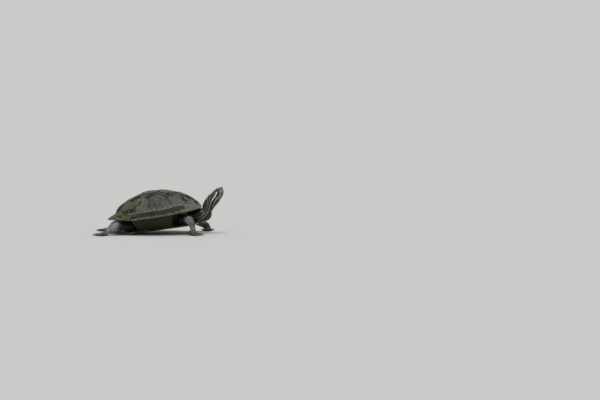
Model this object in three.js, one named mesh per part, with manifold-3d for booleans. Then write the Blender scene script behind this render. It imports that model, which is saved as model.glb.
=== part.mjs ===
// Red-eared slider turtle (Trachemys scripta elegans), adult female, life size, as a still museum model.
// She rests on the rear of her belly with her forequarters pushed up, neck stretched and head raised.
//
// Millimetres. +X is forward, +Y is her left, +Z is up. The origin is on the floor, at the centre of the
// rectangle that the whole animal covers. The shell and the head are built in frames of their own, and
// the nested groups at the end turn those frames into place.
import * as THREE from "three";
import { mergeVertices } from "three/addons/utils/BufferGeometryUtils.js";
import Module from "manifold-3d";

const wasm = await Module();
wasm.setup();

const { cos, sin, abs, hypot, atan2, exp, PI, sign, max, min, round } = Math;
const RAD = PI / 180;
const point = (x, y, z) => new THREE.Vector3(x, y, z);
const mix = (a, b, share) => a + (b - a) * share;
const smooth = (low, high, value) => THREE.MathUtils.smoothstep(value, low, high);

// ---------------------------------------------------------------- driving dimensions
const GAP = 0.35; // left between neighbouring solids
const FAR = 400; // beyond the animal on every side

// Shell frame: on the underside of the plastron, below the middle of the carapace.
const SHELL_PITCH = 7.4 * RAD; // nose up
const SHELL_PLACE = point(-5.2, 0, 9.5);
const POLE_X = -4; // the top of the dome, seen in plan
const FRONT_REACH = 114; // pole to front rim
const REAR_REACH = 106; // pole to rear rim
const HALF_WIDTH = 82;
const PLAN_POWER = 2.3; // 2 is an ellipse, more is squarer
const DOME_TOP = 90.6;
// How full the dome is at the sides and at either end: powers of the curve from pole to rim.
const DOME_FORM = { plan: { side: 2.2, front: 2.2, rear: 2 }, fall: { side: 0.76, front: 0.72, rear: 1 } };
const RIM_HEIGHT = 31.5; // at the bridges
const RIM_RISE = { front: 7, rear: 6.8, from: 0.45, to: 0.9 }; // how much higher the rim is at either end
// The flared rear marginals: how far their inner seam stands over the rim, and how the dome comes down to it,
// in a bend over a share of the way from pole to rim and a slack hollow in the slope above. The flare sets in
// gradually from the flank, between two cosines of the turn.
const SKIRT = { seam: 10, bend: 0.042, slack: 2.4, from: 0.15, to: 0.75 };
const KEEL = { height: 1.3, half: 9, front: 99, rear: -99 }; // a ridge, highest at the rear of each vertebral
const SCUTE_THICKNESS = 3;
const SCUTE_RINGS = [0.05, 0.55]; // shares of the way from a scute's middle to its edge, where it has corners
const SEAM_INSET = 0.7 * GAP; // from a seam to the edge of a plate

// Vertebral scutes, front to rear: where each seam crosses the midline, and half its width there.
const VERTEBRAL_SEAMS = [
  { x: 56, half: 22 },
  { x: 15, half: 23 },
  { x: -26, half: 21 },
  { x: -62, half: 17 },
];
// Where the seams between pleural scutes meet the vertebrals, and where they meet the marginals.
const PLEURAL_SEAMS = [
  { x: 35, half: 31, rimX: 42 },
  { x: -6, half: 28.5, rimX: -9 },
  { x: -46, half: 25, rimX: -57 },
];
const FIRST_VERTEBRAL_HALF = 25; // at its front edge
const LAST_VERTEBRAL_HALF = 32; // at its rear edge
const NUCHAL_HALF = 4.5;
const MARGINALS = 12; // on each side
const MARGINAL_INNER = { side: 0.9, front: 0.87, rear: 0.81 }; // share of the way from pole to rim
// Section of a marginal: where its shoulder and its edge are, how far its underside lies below the rim line
// and rises inwards, and how far in and up its inner wall starts.
const MARGINAL_FORM = {
  shoulder: 0.6,
  edge: 0.992,
  under: 1.4,
  rise: 1,
  hollow: 0.35,
  wall: 0.012,
  wallHeight: 0.4,
};

// Plastron: half-width of its lobes, and the wings that rise to the marginals at the bridges.
const PLASTRON = {
  length: 99,
  frontHalf: 45,
  rearHalf: 47,
  thickness: 3,
  flatTo: 68,
  endRise: { front: 1.5, rear: 3 },
};
const LOBE = { power: 5, past: 2 }; // how square the lobes' ends are, and how far past them their curve ends
const BRIDGE = { front: 37, rear: -38, half: 75.4, start: 44, rise: 27.1, power: 1.25, ramp: 7 };
const BRIDGE_FAN = { front: 9, rear: -18, power: 2 }; // how far the bridges' ends run on towards the rim
const PLASTRON_LANES = 12;
const PLASTRON_SEAMS = [
  // name of the scutes in front of each seam, where it crosses the midline, and how far its ends run forward
  { name: "gular", x: 73, bend: 15 },
  { name: "humeral", x: 56, bend: 0 },
  { name: "pectoral", x: 24, bend: 3 },
  { name: "abdominal", x: -26, bend: -4 },
  { name: "femoral", x: -59, bend: -17 },
  { name: "anal", x: -99, bend: 0 },
];

// Trunk: the body inside the shell. Its top stands off the scutes by a depth at each share of the way from
// pole to rim. Below, its wall draws in to a squarish floor, but at the bridges it reaches out and fills the
// shell.
const TRUNK = {
  sides: 24,
  top: [
    { share: 0.02, depth: 9 },
    { share: 0.4, depth: 9 },
    { share: 0.66, depth: 8 },
    { share: 0.79, depth: 7 },
  ],
  floor: { length: 74, width: 36, squareness: 3, bevel: 3 },
  wall: { bridge: 0.87 }, // share of the way to the rim that it reaches at the bridges, under the marginals
  waist: { height: 26, bridge: 70 },
  hip: { height: 11, bridge: 53 },
  base: { bridge: 37, clearance: 1.2 },
  bridged: { from: 0.62, over: 0.12 }, // cosines of the turn between which the fill at the bridges sets in
};

// Head frame: at the back of the skull, x towards the snout.
const HEAD_PITCH = 40 * RAD;
const HEAD_PLACE = point(118.6, 0, 74.8);
const EYE = { x: 29.5, y: 6.8, z: 7.9, radius: 4.4 };
const MOUTH = { cornerX: 15, cornerZ: -5.6, tipX: 44, tipZ: -1.6 };
const JAW_CUT = { width: 60, depth: 30 }; // a block below the line of the mouth, larger than the lower jaw

// ---------------------------------------------------------------- solids from points
function solidOf(points, faces) {
  const flat = new Float32Array(points.flatMap((p) => [p.x, p.y, p.z]));
  const raw = new THREE.BufferGeometry().setAttribute("position", new THREE.BufferAttribute(flat, 3));
  raw.setIndex(faces);
  const merged = mergeVertices(raw, 1e-3);
  const kept = [];
  for (let i = 0; i < merged.index.count; i += 3) {
    const [a, b, c] = [0, 1, 2].map((k) => merged.index.getX(i + k));
    if (a !== b && b !== c && c !== a) kept.push([a, b, c]);
  }
  const build = (triangles) =>
    new wasm.Manifold(
      new wasm.Mesh({
        numProp: 3,
        vertProperties: merged.attributes.position.array,
        triVerts: new Uint32Array(triangles.flat()),
      }),
    );
  const made = build(kept);
  return made.volume() > 0 ? made : build(kept.map(([a, b, c]) => [a, c, b]));
}

function geometryOf(solid) {
  const mesh = solid.getMesh();
  const positions = new Float32Array(mesh.numVert * 3);
  for (let i = 0; i < mesh.numVert; i++)
    positions.set(mesh.vertProperties.subarray(i * mesh.numProp, i * mesh.numProp + 3), i * 3);
  const geometry = new THREE.BufferGeometry();
  geometry.setAttribute("position", new THREE.BufferAttribute(positions, 3));
  geometry.setIndex(new THREE.BufferAttribute(mesh.triVerts, 1));
  const flat = geometry.toNonIndexed();
  flat.computeVertexNormals();
  return flat;
}

const solidOfGeometry = (geometry) => {
  const plain = geometry.index ? geometry.toNonIndexed() : geometry;
  const at = plain.attributes.position;
  const points = Array.from({ length: at.count }, (_, i) => new THREE.Vector3().fromBufferAttribute(at, i));
  return solidOf(points, [...points.keys()]);
};

const moved = (solid, matrix) => solid.transform(matrix.elements.slice());

// Closed rings of equal count joined one to the next, with a fan over each end.
function solidOfRings(rings) {
  const count = rings[0].length;
  const points = rings.flat();
  const faces = [];
  for (let r = 0; r + 1 < rings.length; r++)
    for (let i = 0; i < count; i++) {
      const a = r * count + i;
      const b = r * count + ((i + 1) % count);
      faces.push(a, b, b + count, a, b + count, a + count);
    }
  for (const [ring, start, flip] of [
    [rings[0], 0, true],
    [rings.at(-1), (rings.length - 1) * count, false],
  ]) {
    const middle = ring.reduce((sum, p) => sum.add(p), point(0, 0, 0)).divideScalar(count);
    points.push(middle);
    for (let i = 0; i < count; i++) {
      const [a, b] = [start + i, start + ((i + 1) % count)];
      faces.push(...(flip ? [b, a, points.length - 1] : [a, b, points.length - 1]));
    }
  }
  return solidOf(points, faces);
}

// A plate between two grids of points of the same size, one over the other.
function solidOfGrids(below, above) {
  const [rows, lanes] = [below.length, below[0].length];
  const points = [...below.flat(), ...above.flat()];
  const faces = [];
  const quad = (a, b, c, d) => faces.push(a, b, c, a, c, d);
  const low = (r, k) => r * lanes + k;
  const high = (r, k) => rows * lanes + low(r, k);
  for (let r = 0; r + 1 < rows; r++) {
    for (let k = 0; k + 1 < lanes; k++) {
      quad(low(r, k), low(r + 1, k), low(r + 1, k + 1), low(r, k + 1));
      quad(high(r, k), high(r, k + 1), high(r + 1, k + 1), high(r + 1, k));
    }
    quad(low(r, 0), high(r, 0), high(r + 1, 0), low(r + 1, 0));
    quad(low(r + 1, lanes - 1), high(r + 1, lanes - 1), high(r, lanes - 1), low(r, lanes - 1));
  }
  for (let k = 0; k + 1 < lanes; k++) {
    quad(low(0, k + 1), high(0, k + 1), high(0, k), low(0, k));
    quad(low(rows - 1, k), high(rows - 1, k), high(rows - 1, k + 1), low(rows - 1, k + 1));
  }
  return solidOf(points, faces);
}

// A body swept through stations { at, wide, high }: wide is half its size along broad, high half its size
// across it.
function sweptBody(stations, { broad, sides = 12, steps = 8 }) {
  const path = new THREE.CatmullRomCurve3(stations.map((s) => s.at));
  const sizes = new THREE.CatmullRomCurve3(stations.map((s) => point(s.wide, s.high, 0)));
  const rings = [];
  for (let i = 0; i <= steps; i++) {
    const along = path.getTangent(i / steps);
    const side = broad.clone().addScaledVector(along, -along.dot(broad)).normalize();
    const up = new THREE.Vector3().crossVectors(along, side);
    const centre = path.getPoint(i / steps);
    const size = sizes.getPoint(i / steps);
    rings.push(
      Array.from({ length: sides }, (_, k) => {
        const turn = (2 * PI * k) / sides;
        return centre
          .clone()
          .addScaledVector(side, size.x * cos(turn))
          .addScaledVector(up, size.y * sin(turn));
      }),
    );
  }
  return solidOfRings(rings);
}

const floorBlock = solidOfGeometry(new THREE.BoxGeometry(FAR, FAR, FAR).translate(0, 0, -FAR / 2));
const onFloor = (solid) => solid.subtract(floorBlock);

const largest = (solid) => solid.decompose().sort((a, b) => b.volume() - a.volume())[0];

// Parts a solid with a thin square cut, and returns its pieces in order along the cut's normal.
function partedAt(solid, place, normal, reach) {
  const turn = new THREE.Quaternion().setFromUnitVectors(point(0, 0, 1), normal.clone().normalize());
  const slab = new THREE.BoxGeometry(reach, reach, GAP).applyQuaternion(turn);
  slab.translate(place.x, place.y, place.z);
  const pieces = solid.subtract(solidOfGeometry(slab)).decompose();
  const alongNormal = (piece) => {
    const box = piece.boundingBox();
    const middle = point(...[0, 1, 2].map((k) => (box.min[k] + box.max[k]) / 2));
    return middle.sub(place).dot(normal);
  };
  const big = pieces.sort((a, b) => b.volume() - a.volume()).slice(0, 2);
  return big.sort((a, b) => alongNormal(a) - alongNormal(b));
}

// ---------------------------------------------------------------- carapace
// In plan the carapace is an oval round the pole; turn is the angle about it from the front.
function rimRadius(turn) {
  const reach = cos(turn) > 0 ? FRONT_REACH : REAR_REACH;
  const sum = (abs(cos(turn)) / reach) ** PLAN_POWER + (abs(sin(turn)) / HALF_WIDTH) ** PLAN_POWER;
  return sum ** (-1 / PLAN_POWER);
}

// The rim rises evenly to the nuchal in front. Behind it stays low along the flank, and lifts at the flare.
function rimHeight(turn) {
  if (cos(turn) > 0) return RIM_HEIGHT + RIM_RISE.front * cos(turn) ** 2;
  return RIM_HEIGHT + RIM_RISE.rear * smooth(RIM_RISE.from, RIM_RISE.to, -cos(turn));
}

// The ring seam between the marginals and the scutes inside them.
function innerShare(turn) {
  const end = cos(turn) > 0 ? MARGINAL_INNER.front : MARGINAL_INNER.rear;
  return mix(MARGINAL_INNER.side, end, cos(turn) ** 2);
}

function keelHeight(x, y) {
  const ends = [KEEL.front, ...VERTEBRAL_SEAMS.map((seam) => seam.x), KEEL.rear];
  const rear = ends.findIndex((end) => end < x);
  if (rear < 1) return 0;
  const along = (ends[rear - 1] - x) / (ends[rear - 1] - ends[rear]);
  return KEEL.height * along * max(0, 1 - abs(y) / KEEL.half);
}

// The dome at a share of the way from the pole to the rim. It is fullest in front, and behind it comes down
// on marginals that flare out like a skirt.
function domeHeight(turn, share) {
  const endways = cos(turn) ** 2;
  const front = cos(turn) > 0;
  const [plan, fall] = [DOME_FORM.plan, DOME_FORM.fall].map((form) =>
    mix(form.side, front ? form.front : form.rear, endways),
  );
  const rise = (at) => (DOME_TOP - rimHeight(turn)) * max(0, 1 - at ** plan) ** fall;
  const radius = rimRadius(turn) * share;
  const keel = keelHeight(POLE_X + radius * cos(turn), radius * sin(turn));
  const plain = rimHeight(turn) + rise(share) + keel;
  if (front) return plain;
  const seam = innerShare(turn);
  const drop = rise(seam) - SKIRT.seam;
  const skirt = share > seam
    ? rimHeight(turn) + (SKIRT.seam * (1 - share)) / (1 - seam)
    : plain - drop * exp((share - seam) / SKIRT.bend) - SKIRT.slack * sin(PI * min(1, share / seam)) ** 2;
  const flare = min(1, max(0, -cos(turn) - SKIRT.from) / (SKIRT.to - SKIRT.from));
  return mix(plain, skirt, flare ** 2);
}

function carapacePoint(turn, share, lift = 0) {
  const radius = rimRadius(turn) * share;
  return point(POLE_X + radius * cos(turn), radius * sin(turn), domeHeight(turn, share) + lift);
}

function onCarapace(x, y, lift = 0) {
  const turn = atan2(y, x - POLE_X);
  return carapacePoint(turn, min(1, hypot(x - POLE_X, y) / rimRadius(turn)), lift);
}

// The turn at which a measure of the ring seam, rising with the turn from 0 to PI, reaches a value.
function turnWhere(measure, value) {
  let [low, high] = [0, PI];
  for (let i = 0; i < 40; i++) {
    const middle = (low + high) / 2;
    if (measure(middle) < value) low = middle;
    else high = middle;
  }
  return (low + high) / 2;
}
const ringX = (turn) => POLE_X + rimRadius(turn) * innerShare(turn) * cos(turn);
const ringY = (turn) => rimRadius(turn) * innerShare(turn) * sin(turn);
const turnAtX = (x) => turnWhere((turn) => -ringX(turn), -x);
const frontTurnAtY = (y) => turnWhere((turn) => (turn < PI / 2 ? ringY(turn) : y), y);
const rearTurnAtY = (y) => turnWhere((turn) => (turn > PI / 2 ? -ringY(turn) : -FAR), -y);

// The turns that share half the rim out evenly among the marginals of one side, nuchal edge first.
function marginalTurns() {
  const samples = 720;
  const lengths = [0];
  const at = (i) => carapacePoint((PI * i) / samples, 1);
  for (let i = 1; i <= samples; i++) lengths.push(lengths[i - 1] + at(i).distanceTo(at(i - 1)));
  return Array.from({ length: MARGINALS + 1 }, (_, k) => {
    const wanted = mix(NUCHAL_HALF, lengths[samples], k / MARGINALS);
    return (PI * lengths.findIndex((length) => length >= wanted)) / samples;
  });
}
const MARGINAL_TURNS = marginalTurns();

// Straight edges and stretches of the ring seam, as plan points { x, y } with the last one left out.
const PLAN_STEP = 15;
function straight(a, b) {
  const count = max(1, round(hypot(b.x - a.x, b.y - a.y) / PLAN_STEP));
  return Array.from({ length: count }, (_, i) => {
    const share = i / count;
    return { x: mix(a.x, b.x, share), y: mix(a.y, b.y, share) };
  });
}
function ringStretch(from, to) {
  const count = max(2, round((abs(to - from) * HALF_WIDTH) / (PLAN_STEP * 0.75)));
  return Array.from({ length: count }, (_, i) => {
    const turn = mix(from, to, i / count);
    return { x: ringX(turn), y: ringY(turn) };
  });
}
const ringPoint = (turn) => ({ x: ringX(turn), y: ringY(turn) });

// A scute inside the ring: a thin plate on the dome with the given plan outline, kept a little off its seams.
function scutePlate(outline) {
  const count = outline.length;
  const centre = { x: 0, y: 0 };
  for (const p of outline) {
    centre.x += p.x / count;
    centre.y += p.y / count;
  }
  const inset = outline.map((p) => {
    const reach = hypot(p.x - centre.x, p.y - centre.y);
    const share = 1 - SEAM_INSET / reach;
    return { x: mix(centre.x, p.x, share), y: mix(centre.y, p.y, share) };
  });
  const ring = (share, lift) =>
    inset.map((p) => onCarapace(mix(centre.x, p.x, share), mix(centre.y, p.y, share), lift));
  const [middle, halfway] = SCUTE_RINGS;
  const top = [ring(middle, 0), ring(halfway, 0), ring(1, 0)];
  return solidOfRings([...top, ring(1, -SCUTE_THICKNESS), ring(middle, -SCUTE_THICKNESS)]);
}

const mirroredOutline = (outline) => outline.map((p) => ({ x: p.x, y: -p.y }));

// Right half of a vertebral's outline is the mirror of its left half, joined back to front. Points on the
// midline, which both halves have, are kept once.
const SAME_POINT = 0.5;
function bothSides(left) {
  return [...left, ...mirroredOutline(left).reverse()].filter(
    (p, i, all) => i === 0 || hypot(p.x - all[i - 1].x, p.y - all[i - 1].y) > SAME_POINT,
  );
}

function vertebralOutlines() {
  const corner = ({ x, half }) => ({ x, y: half });
  const onMidline = (x) => ({ x, y: 0 });
  const seams = VERTEBRAL_SEAMS.map(corner);
  const bulges = PLEURAL_SEAMS.map(corner);
  const frontTurn = frontTurnAtY(FIRST_VERTEBRAL_HALF);
  const rearTurn = rearTurnAtY(LAST_VERTEBRAL_HALF);
  const first = [...ringStretch(0, frontTurn), ...straight(ringPoint(frontTurn), seams[0])];
  const last = [...straight(seams[3], ringPoint(rearTurn)), ...ringStretch(rearTurn, PI)];
  const middle = [0, 1, 2].map((i) => [
    ...straight(onMidline(seams[i].x), seams[i]),
    ...straight(seams[i], bulges[i]),
    ...straight(bulges[i], seams[i + 1]),
    ...straight(seams[i + 1], onMidline(seams[i + 1].x)),
    onMidline(seams[i + 1].x),
  ]);
  return [
    [...first, ...straight(seams[0], onMidline(seams[0].x)), onMidline(seams[0].x)],
    ...middle,
    [...straight(onMidline(seams[3].x), seams[3]), ...last, onMidline(ringX(PI))],
  ].map(bothSides);
}

function pleuralOutlines() {
  const frontTurn = frontTurnAtY(FIRST_VERTEBRAL_HALF);
  const rearTurn = rearTurnAtY(LAST_VERTEBRAL_HALF);
  const rimTurns = [frontTurn, ...PLEURAL_SEAMS.map((seam) => turnAtX(seam.rimX)), rearTurn];
  const bulges = PLEURAL_SEAMS.map(({ x, half }) => ({ x, y: half }));
  const necks = VERTEBRAL_SEAMS.map(({ x, half }) => ({ x, y: half }));
  return [0, 1, 2, 3].map((i) => {
    const front = i === 0 ? ringPoint(frontTurn) : bulges[i - 1];
    const rear = i === 3 ? ringPoint(rearTurn) : bulges[i];
    const inner = [...straight(front, necks[i]), ...straight(necks[i], rear)];
    const rearEdge = i === 3 ? [] : straight(rear, ringPoint(rimTurns[i + 1]));
    const frontEdge = i === 0 ? [] : straight(ringPoint(rimTurns[i]), front);
    return [...inner, ...rearEdge, ...ringStretch(rimTurns[i + 1], rimTurns[i]), ...frontEdge];
  });
}

// A marginal between two turns: a wedge of shell with its top on the dome, its edge at the rim and its
// underside running back in. Its section is drawn in the upright plane through the pole.
function marginalSection(turn) {
  const form = MARGINAL_FORM;
  const inner = innerShare(turn) + SEAM_INSET / rimRadius(turn);
  const under = rimHeight(turn) - form.under;
  const at = (share, height) => {
    const radius = rimRadius(turn) * share;
    return point(POLE_X + radius * cos(turn), radius * sin(turn), height);
  };
  const onDome = (share) => at(share, domeHeight(turn, share));
  return [
    onDome(inner),
    onDome(mix(inner, 1, form.shoulder)),
    onDome(form.edge),
    at(form.edge, under),
    at(mix(inner, 1, form.hollow), under + form.rise),
    at(inner + form.wall, mix(under, domeHeight(turn, inner), form.wallHeight)),
  ];
}

function marginal(from, to) {
  const trim = GAP / 2 / HALF_WIDTH;
  const steps = 3;
  return solidOfRings(
    Array.from({ length: steps + 1 }, (_, i) => marginalSection(mix(from + trim, to - trim, i / steps))),
  );
}

// ---------------------------------------------------------------- plastron
function plastronHalf(x) {
  const end = x > 0 ? PLASTRON.frontHalf : PLASTRON.rearHalf;
  const lobe = end * max(0, 1 - abs(x / (PLASTRON.length + LOBE.past)) ** LOBE.power) ** 0.5;
  const fromEnds = min(BRIDGE.front - x, x - BRIDGE.rear) / BRIDGE.ramp;
  return lobe + (BRIDGE.half - lobe) * min(1, max(0, fromEnds + 0.5));
}

// The underside of the plastron: flat in the middle, rising at the bridges and a little towards both ends.
function plastronPoint(x, across, lift) {
  const y = across * plastronHalf(x);
  const out = max(0, abs(y) - BRIDGE.start) / (BRIDGE.half - BRIDGE.start);
  const on = max(0, abs(x) - PLASTRON.flatTo) / (PLASTRON.length - PLASTRON.flatTo);
  const end = x > 0 ? "front" : "rear";
  const placedX = x + BRIDGE_FAN[end] * min(1, x / BRIDGE[end]) * out ** BRIDGE_FAN.power;
  const rim = rimHeight(atan2(y, placedX - POLE_X)) - RIM_HEIGHT;
  const height = BRIDGE.rise * out ** BRIDGE.power + rim * out + PLASTRON.endRise[end] * on ** 2;
  return point(placedX, y, height + lift);
}

// Rows lie where the outline turns: near the lobes' ends, and before and behind each end of the bridges.
const bridgeRows = [BRIDGE.front, BRIDGE.rear].flatMap((x) => [x + BRIDGE.ramp / 2, x - BRIDGE.ramp / 2]);
const lobeRows = [90, 79, -79, -91];
const PLASTRON_ROWS = [...lobeRows, ...bridgeRows].sort((a, b) => b - a);

function plastronBand(front, rear) {
  const trim = GAP / 2;
  const lane = (across, lift) => {
    const start = front.x + front.bend * across ** 2 - trim;
    const end = rear.x + rear.bend * across ** 2 + trim;
    const reached = (x) => x < front.x + max(0, front.bend) && x > rear.x + min(0, rear.bend);
    const inner = PLASTRON_ROWS.filter(reached).map((x) => min(start, max(end, x)));
    return [start, ...inner, end].map((x) => plastronPoint(x, across, lift));
  };
  const lanes = Array.from({ length: PLASTRON_LANES + 1 }, (_, k) => mix(-1, 1, k / PLASTRON_LANES));
  const grid = (lift) => lanes.map((across) => lane(across, lift));
  return solidOfGrids(grid(0), grid(PLASTRON.thickness));
}

// ---------------------------------------------------------------- trunk
function trunkBody(grow = 0) {
  const { length, width, squareness, bevel } = TRUNK.floor;
  const floorRadius = (turn) => {
    const sum = (abs(cos(turn)) / length) ** squareness + (abs(sin(turn)) / width) ** squareness;
    return sum ** (-1 / squareness);
  };
  const filled = (turn, radius, bridge) => {
    const fill = min(1, max(0, (TRUNK.bridged.from - abs(cos(turn))) / TRUNK.bridged.over));
    return mix(radius, bridge, fill);
  };
  const ring = (radius, height) =>
    Array.from({ length: TRUNK.sides }, (_, k) => {
      const turn = (2 * PI * k) / TRUNK.sides;
      const reach = radius(turn) + grow;
      return point(POLE_X + reach * cos(turn), reach * sin(turn), height(turn));
    });
  const lowest = TRUNK.top.at(-1);
  const wallShare = (turn) => filled(turn, lowest.share, TRUNK.wall.bridge);
  const wall = (turn) => rimRadius(turn) * wallShare(turn);
  const top = TRUNK.top.slice(0, -1).map(({ share, depth }) =>
    ring(
      (turn) => rimRadius(turn) * share,
      (turn) => domeHeight(turn, share) - depth + grow,
    ),
  );
  const { waist, hip, base } = TRUNK;
  const bottom = PLASTRON.thickness + base.clearance - grow;
  return solidOfRings([
    ...top,
    ring(wall, (turn) => domeHeight(turn, wallShare(turn)) - lowest.depth + grow),
    ring((turn) => filled(turn, mix(floorRadius(turn), wall(turn), 0.5), waist.bridge), () => waist.height),
    ring((turn) => filled(turn, floorRadius(turn), hip.bridge), () => hip.height),
    ring((turn) => filled(turn, floorRadius(turn) - bevel, base.bridge), () => bottom),
  ]);
}

// ---------------------------------------------------------------- head
// Profile of the head: how far from the skull's back, half its width, and its top and bottom lines.
const HEAD_STATIONS = [
  { x: -5, half: 13.6, top: 11.6, bottom: -16 },
  { x: 2, half: 15.2, top: 13.4, bottom: -16.6 },
  { x: 8, half: 16.3, top: 14.1, bottom: -16 },
  { x: 15, half: 15.8, top: 14.4, bottom: -14.8 },
  { x: 22, half: 13.4, top: 14.4, bottom: -12.8 },
  { x: 29, half: 10.9, top: 13.6, bottom: -10.8 },
  { x: 34.5, half: 8.2, top: 11.9, bottom: -9 },
  { x: 38.5, half: 5.9, top: 10.2, bottom: -7.4 },
  { x: 41, half: 3.9, top: 8.8, bottom: -5.8 },
  { x: 42, half: 2, top: 7.4, bottom: -3.6 },
];
const SNOUT_RAKE = 0.4; // how far the front of the face leans back, per millimetre down

function headBody(grow = 0) {
  const sides = 16;
  const snout = HEAD_STATIONS.at(-1);
  return solidOfRings(
    HEAD_STATIONS.map(({ x, half, top, bottom }) => {
      const lean = SNOUT_RAKE * max(0, x / snout.x) ** 2;
      return Array.from({ length: sides }, (_, k) => {
        const turn = (2 * PI * k) / sides;
        const fullness = sin(turn) > 0 ? 0.86 : 0.95; // below 1 squares the section
        const y = (half + grow) * sign(cos(turn)) * abs(cos(turn)) ** fullness;
        const middle = (top + bottom) / 2;
        const z = middle + ((top - bottom) / 2 + grow) * sign(sin(turn)) * abs(sin(turn)) ** fullness;
        return point(x + lean * (z - snout.top), y, z);
      });
    }),
  );
}

function headParts() {
  const run = point(MOUTH.tipX - MOUTH.cornerX, 0, MOUTH.tipZ - MOUTH.cornerZ);
  const tilt = -atan2(run.z, run.x);
  const block = (slack) =>
    solidOfGeometry(
      new THREE.BoxGeometry(run.length() + slack, JAW_CUT.width, JAW_CUT.depth)
        .translate((run.length() - slack) / 2, 0, -JAW_CUT.depth / 2 + slack)
        .rotateY(tilt)
        .translate(MOUTH.cornerX, 0, MOUTH.cornerZ),
    );
  const eyeball = (side, grow) =>
    solidOfGeometry(
      new THREE.IcosahedronGeometry(EYE.radius + grow, 2).translate(EYE.x, side * EYE.y, EYE.z),
    );
  const whole = headBody();
  const jaw = largest(whole.intersect(block(0)));
  const sockets = eyeball(1, GAP).add(eyeball(-1, GAP));
  const head = largest(whole.subtract(block(GAP)).subtract(sockets));
  return { head, jaw, leftEye: eyeball(1, 0), rightEye: eyeball(-1, 0) };
}

// ---------------------------------------------------------------- frames
const shellFrame = new THREE.Matrix4().makeRotationY(-SHELL_PITCH).setPosition(SHELL_PLACE);
const headFrame = new THREE.Matrix4().makeRotationY(-HEAD_PITCH).setPosition(HEAD_PLACE);
const trunkInPlace = moved(trunkBody(GAP), shellFrame);
const headInPlace = moved(headBody(GAP), headFrame);

// What the plastron and the air below it fill, so that neck, tail and limbs come out over it.
const plastronRoom = moved(
  solidOfGeometry(
    new THREE.BoxGeometry(2 * PLASTRON.length + 2 * GAP, 2 * PLASTRON.rearHalf + 2 * GAP, FAR).translate(
      0,
      0,
      PLASTRON.thickness + PLASTRON.endRise.front + GAP - FAR / 2,
    ),
  ),
  shellFrame,
);

const outsideShell = (solid) => solid.subtract(trunkInPlace).subtract(plastronRoom);

// ---------------------------------------------------------------- neck and tail
const NECK_STATIONS = [
  { at: point(56, 0, 39), wide: 21, high: 14 },
  { at: point(79, 0, 41.2), wide: 21, high: 15.2 },
  { at: point(95, 0, 43.3), wide: 19, high: 15.2 },
  { at: point(106.5, 0, 44), wide: 16.5, high: 15.5 },
  { at: point(110.6, 0, 54.2), wide: 14, high: 12.5 },
  { at: point(114.4, 0, 63.4), wide: 13.4, high: 13.8 },
  { at: point(121.9, 0, 78.2), wide: 13.4, high: 15.1 },
];
const TAIL_STATIONS = [
  { at: point(-84, 0, 20), wide: 9.5, high: 8 },
  { at: point(-100, 1, 15.5), wide: 7, high: 6 },
  { at: point(-114, 7, 9.5), wide: 4.8, high: 4.4 },
  { at: point(-123, 18, 5), wide: 3, high: 3 },
  { at: point(-125, 29, 2.2), wide: 1.2, high: 1.4 },
];

// ---------------------------------------------------------------- limbs
// Foot frame: on the floor under the wrist or ankle, x along the middle toe.
const FORE_FOOT = {
  palm: [
    { at: point(-10.5, 0, 8), wide: 4, high: 3 },
    { at: point(-7, 0, 7), wide: 7, high: 5 },
    { at: point(0, 0, 4.2), wide: 8.8, high: 4.8 },
    { at: point(8, 0, 3.2), wide: 10.6, high: 4 },
    { at: point(14, 0, 2.6), wide: 9.6, high: 3 },
  ],
  toes: [
    { y: -7.6, turn: -38, length: 7.5, claw: 7.5 },
    { y: -4, turn: -19, length: 10, claw: 9 },
    { y: 0, turn: 0, length: 11, claw: 9.5 },
    { y: 4, turn: 18, length: 10, claw: 9 },
    { y: 7.4, turn: 38, length: 7.5, claw: 7.5 },
  ],
  toeStart: 9,
  toeRadius: 2.5,
  webReach: 0.35,
};
const HIND_FOOT = {
  palm: [
    { at: point(-12, 0, 8.6), wide: 4.5, high: 3.4 },
    { at: point(-8, 0, 7.6), wide: 8, high: 5.4 },
    { at: point(0, 0, 4.6), wide: 9, high: 5.2 },
    { at: point(9, 0, 3.4), wide: 11, high: 4.2 },
    { at: point(15, 0, 2.6), wide: 11, high: 3 },
  ],
  toes: [
    { y: -7.5, turn: -40, length: 11, claw: 6 },
    { y: -4, turn: -20, length: 15, claw: 7 },
    { y: 0, turn: 0, length: 16, claw: 7 },
    { y: 4, turn: 20, length: 14.5, claw: 6.5 },
    { y: 7.5, turn: 42, length: 11, claw: 0 },
  ],
  toeStart: 10,
  toeRadius: 2.6,
  webReach: 0.8,
};

// The web: a thin fan from the palm part of the way out between the toes, its edge drawn back between them.
const WEB = { thickness: 1.4, height: 1.1, dip: 0.86 };

// A toe from inside the palm to the point of its claw: how far out each station is, counted from the toe's
// start, its height, and its half-width and half-height.
function toeStations({ length, claw }, radius, out) {
  const flesh = [
    { at: out(-4, 3.4), wide: radius, high: radius },
    { at: out(length * 0.5, radius + 0.5), wide: radius, high: radius + 0.2 },
    { at: out(length, radius), wide: radius * 0.75, high: radius * 0.8 },
  ];
  const nail = [
    { at: out(length + claw * 0.45, 2.4), wide: 1.2, high: 1.4 },
    { at: out(length + claw, 0.6), wide: 0.35, high: 0.4 },
  ];
  return claw > 0 ? [...flesh, ...nail] : flesh;
}

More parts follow.
